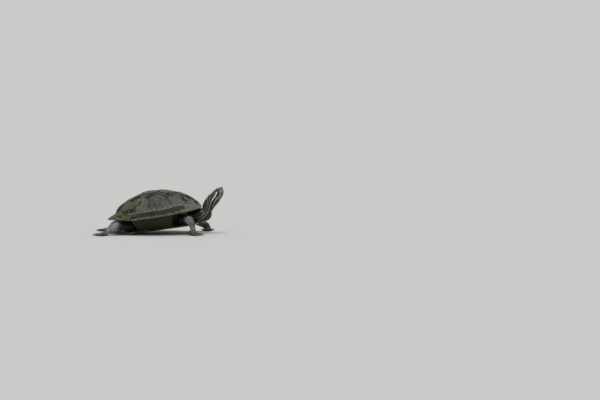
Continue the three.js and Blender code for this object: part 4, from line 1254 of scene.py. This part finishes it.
def relaxed(mesh, points, rounds, weight=None, back=-0.53):
    """Evens out small steps; each step back keeps the body from shrinking."""
    pairs = np.empty(len(mesh.edges) * 2, np.int32)
    mesh.edges.foreach_get("vertices", pairs)
    a, b = pairs.reshape(-1, 2).T
    ends, others = np.r_[a, b], np.r_[b, a]
    count = np.bincount(ends, minlength=len(points))[:, None]
    share = 1 if weight is None else weight[:, None]
    for _ in range(rounds):
        for pull in (0.5, back):
            mean = np.stack([np.bincount(ends, points[others, k], len(points)) for k in range(3)], -1) / count
            points = points + pull * share * (mean - points)
    return points


def head_local(points):
    return turned_back(points, HEAD_PITCH, HEAD_PLACE)


EYE_OUT = unit(at(0.3, 1, 0.22))
EYE_FORWARD = unit(np.cross(EYE_OUT, at(0, 0, 1)))
EYE_UP = np.cross(EYE_FORWARD, EYE_OUT)
EYE_UP = EYE_UP if EYE_UP[2] > 0 else -EYE_UP


def eye_lids(local):
    """Draws the skin round each eyeball: open in an almond over it, with a thick lid above and below."""
    for side in (1, -1):
        flip = at(1, side, 1)
        spots = local * flip
        away = spots - EYE_PLACE
        far = np.linalg.norm(away, axis=1)
        way = away / np.maximum(far, 1e-6)[:, None]
        out, forward, upward = way @ EYE_OUT, way @ EYE_FORWARD, way @ EYE_UP
        upper = upward > 0.04
        tall = np.where(upper, 0.6, 0.62)
        opening = np.sqrt((forward / 0.86) ** 2 + ((upward - 0.04) / tall) ** 2)
        near = (out > 0) & (far < EYE_RADIUS + 4) & (far > 0.6)
        lid = EYE_RADIUS + 0.75 - 0.3 * smooth(1.25, 1.6, opening)
        hold = smooth(1.95, 1.3, opening) * smooth(0.02, 0.4, out)
        reach = mix(far, np.maximum(lid, mix(far, lid, 0.75)), hold)
        crease = 0.3 * np.exp(-(((opening - 1.62) / 0.08) ** 2))
        reach = reach - crease * hold**0.5 * (opening > 1.3)
        reach = np.where(opening < 1.0, EYE_RADIUS - 1.3, reach)
        rim = mix(EYE_RADIUS - 1.3, EYE_RADIUS + 0.75, smooth(0.96, 1.06, opening))
        reach = np.where((opening >= 0.96) & (opening < 1.06), rim, reach)
        moved = (EYE_PLACE + way * reach[:, None]) * flip
        local = np.where((near & (spots[:, 1] > 0.5))[:, None], moved, local)
    return local


def mouth_measure(local):
    """Height above the line of the mouth, which bows down a little between its corner and its tip."""
    share = (local[:, 0] - MOUTH_CORNER[0]) / (MOUTH_TIP[0] - MOUTH_CORNER[0])
    line = mix(MOUTH_CORNER[1], MOUTH_TIP[1], share) - 0.7 * sin(PI * np.clip(share, 0, 1))
    return local[:, 2] - line, share


NOSTRIL = at(40.6, 1.6, 5.6)
BROW = [(22, 13.2, 0), (29, 13.4, 0), (35, 11.3, 0)]  # x, z and half the width of the ridge's line


def sculpt_head(local, normals):
    """Moves the points of the head along their normals for its mouth, nostrils, ears and ridges."""
    above, share = mouth_measure(local)
    mouth = smooth(-0.04, 0.03, share)
    lift = -0.75 * np.exp(-((above / 0.34) ** 2)) * mouth
    lift -= 0.55 * smooth(0, -0.5, above) * smooth(-5.5, -1, above) * mouth * smooth(0, 0.3, share)
    lift += 0.25 * np.exp(-(((above - 1.2) / 0.9) ** 2)) * mouth
    side = abs(local[:, 1])
    ear = np.hypot((local[:, 0] - 7) / 4.6, (local[:, 2] + 0.6) / 4.2)
    lateral = smooth(8, 12, side)
    lift += lateral * (-0.35 * np.exp(-(((ear - 1) / 0.16) ** 2)) + 0.25 * smooth(1, 0.3, ear))
    brow = stripe_depth(local[:, 0], local[:, 2], BROW)
    lift += 0.45 * np.exp(-((brow / 1.1) ** 2)) * smooth(3, 5, side)
    nostril = np.linalg.norm(np.c_[local[:, 0], side, local[:, 2]] - NOSTRIL, axis=1)
    lift -= 0.9 * smooth(0.85, 0.3, nostril)
    front = smooth(30, 38, local[:, 0])
    away = np.linalg.norm(np.c_[local[:, 0], side, local[:, 2]] - EYE_PLACE, axis=1)
    rough = noise(local, 2.4, 21) * 0.1 + noise(local, 0.9, 22) * 0.05
    rough = rough * smooth(EYE_RADIUS + 2, EYE_RADIUS + 6, away)
    folds = smooth(6, -3, local[:, 0]) * 0.35 * noise(local, at(3, 9, 9), 23)
    return local + normals * (lift + rough * (1 - 0.6 * front) + folds)[:, None]


def nearest_sweeps(points, sweeps):
    """For each point: which sweep it lies on, how far along and round it, and the way the skin lies there."""
    best = np.full(len(points), 1e9)
    which = np.zeros(len(points), int)
    step = np.zeros(len(points), int)
    for i, sweep in enumerate(sweeps):
        radius = sweep.size.mean(1)
        low, high = sweep.centre.min(0) - radius.max() - 3, sweep.centre.max(0) + radius.max() + 3
        near = np.flatnonzero(((points > low) & (points < high)).all(1))
        for k in range(len(sweep.centre)):
            gap = np.linalg.norm(points[near] - sweep.centre[k], axis=1) / max(radius[k], 1.5)
            closer = gap < best[near]
            spots = near[closer]
            best[spots], which[spots], step[spots] = gap[closer], i, k
    centre, along, side, up = (np.zeros((len(points), 3)) for _ in range(4))
    length = np.zeros(len(points))
    for i, sweep in enumerate(sweeps):
        mine = which == i
        at_step = step[mine]
        centre[mine], along[mine] = sweep.centre[at_step], sweep.along[at_step]
        side[mine], up[mine], length[mine] = sweep.side[at_step], sweep.up[at_step], sweep.length[at_step]
    away = points - centre
    turn = np.arctan2((away * up).sum(1), (away * side).sum(1))
    return {"which": which, "gap": best, "along": along, "turn": turn, "length": length}


# Stripes of the head and neck on the side view, with x and z of the whole frame and half the width at each
# point: the broad one behind the eye, then those of the jaw, neck, crown and snout, and two more of the neck.
STRIPES = [
    [(134, 98.5, 0.8), (132.6, 93, 1.5), (130.4, 87.8, 1.55), (124.9, 81, 1.7), (120.4, 74, 1.2)]
    + [(118.3, 66, 1.15), (115.9, 58, 1.3), (112.6, 50, 1.3), (108.1, 42.4, 1.35), (97, 33, 1.1)]
    + [(84, 30, 0.8)],
    [(142.4, 93.5, 0.5), (140.4, 87.5, 0.85), (133.1, 80.4, 1.0), (127.5, 70.5, 0.7), (124.5, 61, 0.6)]
    + [(120.5, 50, 0.6)],
    [(112.6, 80, 0.5), (111.3, 66, 0.7), (106.6, 57.5, 0.7), (104.4, 48.4, 0.8), (95.4, 39, 0.8)]
    + [(82, 36, 0.6)],
    # The crown's stripe is partly the skin's own pale stripe and partly a painted highlight on the wet top of
    # the head.
    [(130.2, 102, 0.4), (124.5, 98.6, 1.6), (118, 92.6, 1.9), (112.8, 87.8, 1.6), (108.5, 79, 0.6)],
    [(134.6, 105.2, 0.3), (142, 106.6, 0.45), (146.5, 106.2, 0.4)],
    [(107, 74, 0.35), (105.6, 62, 0.5), (101, 55, 0.5), (90, 46, 0.5)],
    [(118, 86, 0.2), (115.4, 72, 0.45), (112.4, 60, 0.5), (107.6, 50, 0.5), (99, 38, 0.5)],
]
EAR_PATCH = [(131.5, 96.8, 0.5), (127.4, 92.4, 1.9), (121.5, 86.6, 2.5)]
EAR_PATCH += [(116.4, 80.6, 2.1), (113.4, 76.4, 0.6)]
# Pale and dark areas of the face, on the side view as the stripes are. The last pale one, on the crown just
# above the eye, is a painted highlight.
FACE_PALE = [[(145, 104.5, 0.5), (144.6, 97.5, 1.0)], [(139.5, 96.3, 1.4), (142, 96.8, 1.8)]]
FACE_PALE += [[(136.3, 106, 1.2), (139, 106.8, 1.2)]]
FACE_DARK = [[(129, 99, 1.2), (136, 101.3, 2.4), (141.5, 103, 1.0)], [(143.5, 107, 1.0), (146, 105.5, 0.7)]]
# Pale lines along the throat and the nape: their distance from the midline, and half their width.
THROAT_LINES = [(2.8, 0.65), (7.4, 0.6)]
NAPE_LINES = [(0.0, 0.3), (4.4, 0.3)]
# Stripes along legs, tail and toes: turns round the part, and half-widths.
LEG_LINES = {"turns": (0.4, 1.3, 2.2, -0.7, -2.2), "half": 0.62}
TOE_LINES = {"turns": (1.57,), "half": 0.45}
FAR_LINES = {"turns": (1.35, 0.2, 2.4, -1.6), "half": 0.95}


def stripe_depth(u, v, line):
    """How far each point (u, v) lies inside a stripe whose points hold half its width; below 0 is outside."""
    line = at(*line)
    depth = np.full(len(u), -9.0)
    spots = np.stack([u, v], -1)
    for start, end in zip(line, line[1:]):
        step = (end - start)[:2]
        share = np.clip((spots - start[:2]) @ step / (step @ step), 0, 1)
        gap = np.linalg.norm(spots - start[:2] - share[:, None] * step, axis=1)
        depth = np.maximum(depth, mix(start[2], end[2], share) - gap)
    return depth


def head_stripes(points, front, wavy):
    """Depths in the cream stripes of head and neck and in the ear patch, from the swayed points at front."""
    x, y, z = points.T
    local = head_local(points)
    side = abs(y)
    cream, ear = np.full(len(points), -9.0), np.full(len(points), -9.0)
    for line in STRIPES:
        cream[front] = np.maximum(cream[front], stripe_depth(wavy[:, 0], wavy[:, 2], line))
    ear[front] = stripe_depth(wavy[:, 0], wavy[:, 2], EAR_PATCH)
    ear[side < 5] = -9
    flank = mix(3.5, 5.0, smooth(9, 12, local[front, 2])) + 0.5 * noise(points[front], 5, 35)
    cream[front] = np.minimum(cream[front], side[front] - flank)
    throat = (x > 100) & (z > 24) & (side < 24) & (local[:, 2] < -4)
    for middle, half in THROAT_LINES:
        line = half * (0.9 + 0.6 * noise(points, 11, 34)) - abs(side - middle - 1.3 * noise(points, 14, 31))
        cream = np.where(throat, np.maximum(cream, line), cream)
    nape = (x > 100) & (z > 60) & (local[:, 2] > 10) & (local[:, 0] < 24)
    for middle, half in NAPE_LINES:
        cream = np.where(nape, np.maximum(cream, half - abs(side - middle)), cream)
    return cream, ear


def limb_stripes(cream, points, lie, sweeps):
    """Adds the stripes that run along legs, toes and tail to the depths in the cream ones."""
    radius = np.array([sweep.size.mean() for sweep in sweeps])[lie["which"]]
    for i, sweep in enumerate(sweeps):
        mine = np.flatnonzero(lie["which"] == i)
        if sweep.name == "neck" or not len(mine):
            continue
        lines = TOE_LINES if "toe" in sweep.name or "palm" in sweep.name else LEG_LINES
        lines = FAR_LINES if sweep.name == "left_fore_leg" else lines
        for k, middle in enumerate(lines["turns"]):
            sway = 0.2 * sin(lie["length"][mine] / 9 + 2.1 * k + i) + 0.1 * noise(points[mine], 5, 33)
            gap = abs(np.angle(np.exp(1j * (lie["turn"][mine] - middle - sway)))) * radius[mine]
            wide = 2.2 if sweep.name == "left_fore_leg" and k == 0 else 1
            here = lines["half"] * wide * (0.8 + 0.5 * sin(1.7 * k + i)) - gap
            cream[mine] = np.maximum(cream[mine], here)


def markings(points, lie, sweeps):
    """What the skin's colours go by at each point: the depth in millimetres inside the cream stripes and the
    ear patch, below 0 outside them, and shares of grey, brown and dark. Grey is partly a painted sheen, and
    dark is painted shade."""
    x, y, z = points.T
    local = head_local(points)
    front = np.flatnonzero((x > 78) & (z > 24) & (abs(y) < 24))
    wavy = points[front] + 0.5 * np.stack([noise(points[front], 7, 30 + k) for k in range(3)], -1)
    cream, ear = head_stripes(points, front, wavy)
    limb_stripes(cream, points, lie, sweeps)
    names = np.array([sweep.name for sweep in sweeps])[lie["which"]]
    hind = np.char.find(names, "hind_leg") >= 0
    fore = names == "right_fore_leg"
    far_fore = names == "left_fore_leg"
    toes = (np.char.find(names, "toe") >= 0) | (np.char.find(names, "palm") >= 0)
    face = smooth(28, 31, local[:, 0]) * smooth(41, 38, local[:, 0]) * smooth(-3, -1, local[:, 2])
    # crown: the top of the head is painted paler grey, a painted sheen.
    crown = smooth(10.5, 12.5, local[:, 2]) * smooth(12, 18, local[:, 0])
    on_head = (x > 105) & (z > 60)
    # The hind leg's shank, out past the shell, is painted pale grey, partly its own tone and partly painted
    # light. The thigh behind it takes the painted shade of dark.
    shank = hind * smooth(-85, -97, x)

    def covered(lines):
        share = np.zeros(len(points))
        deepest = np.max([stripe_depth(wavy[:, 0], wavy[:, 2], line) for line in lines], axis=0)
        share[front] = smooth(-1.2, 0.8, deepest)
        return share

    tone = mix(np.maximum(0.56 * face, 0.42 * crown), 0.95, covered(FACE_PALE))
    tone = tone * (1 - 0.85 * covered(FACE_DARK)) * on_head
    # On the near foreleg below the elbow the pale grey is partly a painted sheen, as is the paler top of the
    # head.
    grey = 0.95 * shank + 0.75 * fore * smooth(12, 26, lie["length"]) + 0.2 * toes + tone
    throat = smooth(9, 5, np.hypot(x - 118, z - 36)) * (names == "neck")
    chin = on_head * smooth(-2, -6, local[:, 2]) * smooth(14, 20, local[:, 0])
    brown = far_fore * smooth(60, 46, lie["length"]) + 0.55 * throat + 0.28 * chin
    return {
        "cream": np.clip(cream, -6, 6),
        "ear": np.clip(ear, -6, 6),
        "grey": np.clip(grey, 0, 1),
        "brown": 0.9 * brown,
        # dark: painted shade on the skin under and near the shell's rim, and on the thigh behind the shank
        "dark": 0.85 * np.maximum(smooth(13, -3, shell_room(points)), hind - shank) * ~on_head,
    }


def build_skin():
    points, faces, sweeps, claws = joined_flesh()
    mesh = remeshed(points, faces)
    points = points_of(mesh)
    local = head_local(points)
    refined(mesh, (local[:, 0] > -9) & (local[:, 2] > -24) & (points[:, 0] > 100) & (abs(local[:, 1]) < 20))
    points = points_of(mesh)
    local = head_local(points)
    mouth = (abs(mouth_measure(local)[0]) < 1.8) & (local[:, 0] > MOUTH_CORNER[0] - 2)
    refined(mesh, (around_eye(points) < EYE_RADIUS + 4.5) | mouth | (local[:, 0] > 36))
    points = relaxed(mesh, points_of(mesh), 8)
    tip = smooth(37.5, 40, head_local(points)[:, 0])
    points = relaxed(mesh, points, 24, 0.9 * tip, 0.0)
    nape = smooth(10, 5, np.hypot(points[:, 0] - 109.5, points[:, 2] - 84.5))
    points = relaxed(mesh, points, 40, 0.9 * nape, 0.0)
    set_points(mesh, points)
    local, normals = head_local(points), turned(normals_of(mesh), -HEAD_PITCH, 0)
    head = smooth(-7, -1, local[:, 0]) * smooth(-24, -19, local[:, 2]) * smooth(95, 105, points[:, 0])
    shaped = eye_lids(sculpt_head(local, normals))
    points = mix(points, turned(shaped, HEAD_PITCH, HEAD_PLACE), head[:, None])
    near_eye = smooth(EYE_RADIUS + 6, EYE_RADIUS + 3.5, around_eye(points))
    points = relaxed(mesh, points, 3, 0.5 * near_eye)
    lids = near_eye * smooth(EYE_RADIUS + 0.9, EYE_RADIUS + 1.8, around_eye(points))
    points = relaxed(mesh, points, 12, lids)
    points = relaxed(mesh, points, 8, 0.8 * lids, 0.0)
    set_points(mesh, points)
    lie = nearest_sweeps(points, sweeps)
    points = body_folds(mesh, points, lie, sweeps, head)
    set_points(mesh, points)
    marks = markings(points, lie, sweeps)
    for key, values in marks.items():
        layer = mesh.attributes.new(key, "FLOAT", "POINT")
        layer.data.foreach_set("value", values.astype(np.float32))
    flesh = ["head", "lower_jaw", "neck", "trunk", "tail"]
    flesh += [f"{name}_{part}" for name in LIMBS for part in ("leg", "foot")]
    skin = place_piece("skin", mesh, skin_material(), flesh)
    return skin, points, lie, sweeps, claws, marks, head


def around_eye(points):
    """Distance of each point from the middle of the nearer eye."""
    local = head_local(points)
    return np.linalg.norm(np.c_[local[:, 0], abs(local[:, 1]), local[:, 2]] - EYE_PLACE, axis=1)


def shell_room(points):
    """How far points lie outside the ring seam of the carapace; below 0 they are under the shell."""
    local = turned_back(points, SHELL_PITCH, SHELL_PLACE)
    turn = np.arctan2(local[:, 1], local[:, 0] - POLE_X)
    return np.hypot(local[:, 0] - POLE_X, local[:, 1]) - rim_radius(turn) * inner_share(turn)


def body_folds(mesh, points, lie, sweeps, head):
    """Wrinkles of the neck and limbs, and the small grain of the bare skin between the scales."""
    normals = normals_of(mesh)
    names = np.array([sweep.name for sweep in sweeps])[lie["which"]]
    neck = names == "neck"
    leg = np.char.find(names, "leg") >= 0
    phase = lie["length"] / 5.2 + 1.5 * noise(points, 12, 41)
    rings = -((1 - abs(sin(phase))) ** 3) * 0.55
    phase = lie["length"] / 3.6 + 1.2 * noise(points, 9, 42)
    creases = -((1 - abs(sin(phase))) ** 3) * 0.4
    lift = np.where(neck, rings + 0.4 * noise(points, 6, 43), 0)
    lift = lift + np.where(leg, creases + 0.3 * noise(points, 5, 44), 0)
    near, after = cellular(points, 1.7, 45)
    grain = -0.16 * smooth(0.22, 0.0, after - near) - 0.05
    points = points + normals * ((lift + grain) * (1 - head))[:, None]
    points[:, 2] = np.maximum(points[:, 2], 0)
    return points


# ---------------------------------------------------------------- scales
SCALE_SPACING = 0.8  # shares of a scale's size
SCALE_HALF = 0.6
SCALE_CELL = 4  # cells in which neighbours are looked for, wider than the spacing of the largest scales
PATCH = 0.0012  # half the width of a scale's patch on the unwrap


def scale_coat(name, chosen, skin, lie, sweeps, size, height, seed, chart):
    """Low domed scales close over the chosen points of the skin, each lying towards the tip of its part."""
    points, normals = points_of(skin.data), normals_of(skin.data)
    order = np.random.default_rng(seed).permutation(np.flatnonzero(chosen))
    taken, roots = {}, []
    for i in order:
        reach = size[i] * SCALE_SPACING
        cell = tuple((points[i] // SCALE_CELL).astype(int))
        close = False
        for step in np.ndindex(3, 3, 3):
            for j in taken.get((cell[0] + step[0] - 1, cell[1] + step[1] - 1, cell[2] + step[2] - 1), ()):
                away = np.abs(points[i] - points[j])
                if away.max() < reach and np.linalg.norm(away) < reach:
                    close = True
                    break
            if close:
                break
        if not close:
            taken.setdefault(cell, []).append(i)
            roots.append(i)
    return scale_mesh(name, np.array(roots), points, normals, lie, sweeps, size, height, chart, seed)


def scale_mesh(name, roots, points, normals, lie, sweeps, size, height, chart, seed):
    up = normals[roots]
    along = unit(lie["along"][roots] - (lie["along"][roots] * up).sum(1, keepdims=True) * up)
    across = np.cross(up, along)
    sides = 7
    turn = np.linspace(0, 2 * PI, sides, endpoint=False)
    rng = np.random.default_rng(seed + 1)
    rings = [(0.0, 1.0), (0.52, 0.82), (0.86, 0.36), (1.0, -0.35)]
    half = size[roots] * SCALE_HALF
    shapes, rims = [], []
    ragged = 1 + 0.12 * rng.uniform(-1, 1, (len(roots), sides))
    for share, rise in rings:
        count = 1 if share == 0 else sides
        far = share * half[:, None] * (ragged[:, :count])
        ahead = far * cos(turn[:count]) * 1.12 + 0.12 * half[:, None] * rise
        beside = far * sin(turn[:count])
        lift = height[roots][:, None] * rise + 0.08 * ahead
        shift = along[:, None] * ahead[..., None] + across[:, None] * beside[..., None]
        shapes.append(points[roots][:, None] + shift + up[:, None] * lift[..., None])
        rims.append(np.full((len(roots), count), share))
    shape = np.concatenate(shapes, 1)
    each = shape.shape[1]
    fan = [[0, 1 + k, 1 + (k + 1) % sides] for k in range(sides)]
    walls = []
    for ring in range(len(rings) - 2):
        base = 1 + ring * sides
        for k in range(sides):
            after = (k + 1) % sides
            walls.append([base + k, base + sides + k, base + sides + after, base + after])
    starts = np.arange(len(roots)) * each
    faces = [[int(s) + i for i in face] for s in starts for face in fan + walls]
    spots = shape.reshape(-1, 3)
    spots[:, 2] = np.maximum(spots[:, 2], 0.02)
    values = markings(spots, nearest_sweeps(spots, sweeps), sweeps)
    values["rim"] = np.concatenate(rims, 1).ravel()
    piece = make_mesh(name, spots, faces, SCALES, "skin", **values)
    ahead = ((shape - points[roots][:, None]) * along[:, None]).sum(-1) / half[:, None]
    beside = ((shape - points[roots][:, None]) * across[:, None]).sum(-1) / half[:, None]
    u, v = (axis[roots][:, None] for axis in chart)
    place = np.stack([u + PATCH * ahead, v + PATCH * beside], -1)
    layer = piece.data.uv_layers.new(name="OFBake")
    corner = np.empty(len(piece.data.loops), np.int32)
    piece.data.loops.foreach_get("vertex_index", corner)
    layer.data.foreach_set("uv", place.reshape(-1, 2)[corner].astype(np.float32).ravel())
    return piece


def skin_chart(lie, sweeps):
    """An unwrap of the skin: each part rolled out flat, along by round, in a cell of its own."""
    cells = 6
    column, row = lie["which"] % cells, lie["which"] // cells
    longest = np.array([sweep.length[-1] for sweep in sweeps])[lie["which"]]
    u = (column + 0.05 + 0.9 * np.clip(lie["length"] / longest, 0, 1)) / cells
    v = (row + 0.05 + 0.9 * (lie["turn"] + PI) / (2 * PI)) / cells
    return u, v


def build_scales(skin, points, lie, sweeps, head):
    names = np.array([sweep.name for sweep in sweeps])[lie["which"]]

    def has(word):
        return np.char.find(names, word) >= 0

    from_head = -head_local(points)[:, 0]
    open_skin = (shell_room(points) > -12) & (head < 0.05) & (points[:, 2] > 0.6)
    size, height = np.full(len(points), 1.9), np.full(len(points), 0.24)
    size[has("toe")], height[has("toe")] = 1.7, 0.2
    neck = has("neck")
    size[neck], height[neck] = 1.95, 0.16 * smooth(5, 16, from_head[neck])
    open_skin &= ~neck | (from_head > 7)
    fore = has("fore_leg")
    broad = smooth(0.35, 0.8, noise(points, 9, 51)) * 0.8
    size[fore], height[fore] = 2.3 + broad[fore] + 0.9 * smooth(12, 40, lie["length"][fore]), 0.32
    chart = skin_chart(lie, sweeps)
    for i, name in enumerate([*LIMBS, "neck", "tail"]):
        scale_coat(f"scales_{name}", has(name) & open_skin, skin, lie, sweeps, size, height, 60 + i, chart)


# ---------------------------------------------------------------- eyes, beak and claws
def build_eyes():
    material = eye_material()
    for word, side in (("left", 1), ("right", -1)):
        rows, lanes = 48, 64
        tilt = np.linspace(0, PI, rows + 1)[1:-1, None]
        turn = np.linspace(0, 2 * PI, lanes, endpoint=False)[None]
        out = cos(tilt) + 0 * turn
        forward, upward = sin(tilt) * cos(turn), sin(tilt) * sin(turn)
        bulge = EYE_RADIUS - 0.12 + 0.3 * smooth(0.72, 1, out)
        axes = EYE_FORWARD, EYE_UP, EYE_OUT
        way = sum(part[..., None] * axis for part, axis in zip((forward, upward, out), axes))
        spots = (EYE_PLACE + way * bulge[..., None]) * at(1, side, 1)
        front, back = EYE_OUT * (EYE_RADIUS + 0.18), -EYE_OUT * (EYE_RADIUS - 0.12)
        poles = EYE_PLACE + np.stack([front, back])
        points = np.concatenate([spots.reshape(-1, 3), poles * at(1, side, 1)])
        faces = tube_faces(rows - 1, lanes, (len(points) - 2, len(points) - 1))
        placed = turned(points, HEAD_PITCH, HEAD_PLACE)
        behind = (out < 0).ravel()
        along = np.where(behind, 1, forward.ravel()), np.where(behind, 1, upward.ravel())
        values = {"forward": np.r_[along[0], 0, 1], "upward": np.r_[along[1], 0, 1]}
        name = f"eye_{word}"
        solid_piece(name, placed, faces, material, "eye", [name], **values)


def build_beak(skin, marks):
    """The horn sheaths of both jaws: thin plates over the lips that end in a sharp edge at the mouth."""
    mesh = skin.data
    points, normals = points_of(mesh), normals_of(mesh)
    local = head_local(points)
    above, share = mouth_measure(local)
    material = beak_material()
    faces_of = [list(face.vertices) for face in mesh.polygons]
    deep = smooth(0.1, 1.0, share)
    for name, low, high in (
        ("beak_upper", -0.25 + 0 * share, 0.7 + 2.9 * deep),
        ("beak_lower", -0.8 - 2.4 * deep, -0.1 + 0 * share),
    ):
        inside = (above > low - 0.5) & (above < high + 0.5) & (share > 0.1) & (local[:, 0] > 15)
        chosen = [face for face in faces_of if all(inside[i] for i in face)]
        used = np.unique([i for face in chosen for i in face])
        index = {int(old): new for new, old in enumerate(used)}
        border = np.minimum(above[used] - low[used], high[used] - above[used])
        border = np.minimum(border, (share[used] - 0.13) * 25)
        thick = mix(-0.3, 0.15, smooth(-0.3, 0.6, border))
        outer = points[used] + normals[used] * thick[:, None]
        inner = points[used] - normals[used] * 0.7
        count = len(used)
        shell = [[index[i] for i in face] for face in chosen]
        faces = shell + [[i + count for i in reversed(face)] for face in shell]
        edges = {}
        for face in shell:
            for a, b in zip(face, face[1:] + face[:1]):
                edges[(a, b)] = edges.get((a, b), 0) + 1
        faces += [[b, a, a + count, b + count] for a, b in edges if (b, a) not in edges]
        lip = smooth(0.9, 0.1, abs(above[used]))
        far = smooth(0.3, 1, abs(above[used]) / np.maximum(high, -low)[used])
        values = {"cream": np.tile(marks["cream"][used], 2), "lip": np.tile(lip, 2), "far": np.tile(far, 2)}
        solid_piece(name, np.concatenate([outer, inner]), faces, material, "beak", **values)


def build_claws(claws):
    material = claw_material()
    for name, sweeps in claws.items():
        points, faces, along, count = [], [], [], 0
        for sweep in sweeps:
            rings = sweep.rings(18, 0)
            some, theirs = ring_tube(rings)
            some[:, 2] = np.maximum(some[:, 2], 0.05)
            points.append(some)
            faces += [[i + count for i in face] for face in theirs]
            share = np.linspace(0, 1, rings.shape[0])
            along.append(np.r_[np.repeat(share, rings.shape[1]), 0, 1])
            count += len(some)
        points, along = np.concatenate(points), np.concatenate(along)
        solid_piece(f"claws_{name}", points, faces, material, "claw", along=along)


# ---------------------------------------------------------------- stage, in metres
FLOOR_REACH = 80
SKY = {"colour": (0.9, 0.94, 1.0, 1), "strength": 0.4}
SUN = {"from": (0.08, -0.25, 0.96), "strength": 2.05, "spread": 40}  # spread in degrees


def build_stage():
    mesh = bpy.data.meshes.new("floor")
    corners = [(x * FLOOR_REACH, y * FLOOR_REACH, 0) for x, y in ((-1, -1), (1, -1), (1, 1), (-1, 1))]
    mesh.from_pydata(corners, [], [(0, 1, 2, 3)])
    floor = bpy.data.objects.new("floor", mesh)
    bpy.context.scene.collection.objects.link(floor)
    shade = Shade("floor_paper", Roughness=0.85)
    shade.set("Base Color", shade.blend(0xC9C8C4, 0xCFCECA, shade.noise(60, 2)))
    mesh.materials.append(shade.material)


def build_lights():
    """One broad soft light from high in front, and an even pale sky."""
    world = bpy.data.worlds.new("studio")
    bpy.context.scene.world = world
    world.use_nodes = True
    background = world.node_tree.nodes["Background"]
    background.inputs["Color"].default_value = SKY["colour"]
    background.inputs["Strength"].default_value = SKY["strength"]
    light = bpy.data.lights.new("key", "SUN")
    light.energy = SUN["strength"]
    light.angle = np.radians(SUN["spread"])
    lamp = bpy.data.objects.new("key", light)
    lamp.rotation_euler = Vector(SUN["from"]).to_track_quat("Z", "Y").to_euler()
    bpy.context.scene.collection.objects.link(lamp)


CAMERA_AIM = Vector((0.326, 0, 0.0774))
CAMERA_ELEVATION = np.radians(4)
CAMERA_DISTANCE = 9.0
FIELD_WIDTH = 1.388  # what the picture spans at the turtle, in metres


def build_camera():
    data = bpy.data.cameras.new("camera")
    data.sensor_width = 36
    data.lens = data.sensor_width * CAMERA_DISTANCE / FIELD_WIDTH
    data.clip_end = 100
    camera = bpy.data.objects.new("camera", data)
    away = Vector((0, -cos(CAMERA_ELEVATION), sin(CAMERA_ELEVATION)))
    camera.location = CAMERA_AIM + away * CAMERA_DISTANCE
    camera.rotation_euler = away.to_track_quat("Z", "Y").to_euler()
    bpy.context.scene.collection.objects.link(camera)
    bpy.context.scene.camera = camera


build_carapace()
build_plastron()
skin, points, lie, sweeps, claws, marks, head = build_skin()
build_scales(skin, points, lie, sweeps, head)
build_beak(skin, marks)
build_eyes()
build_claws(claws)
build_stage()
build_lights()
build_camera()
bpy.context.scene.view_settings.view_transform = "Standard"
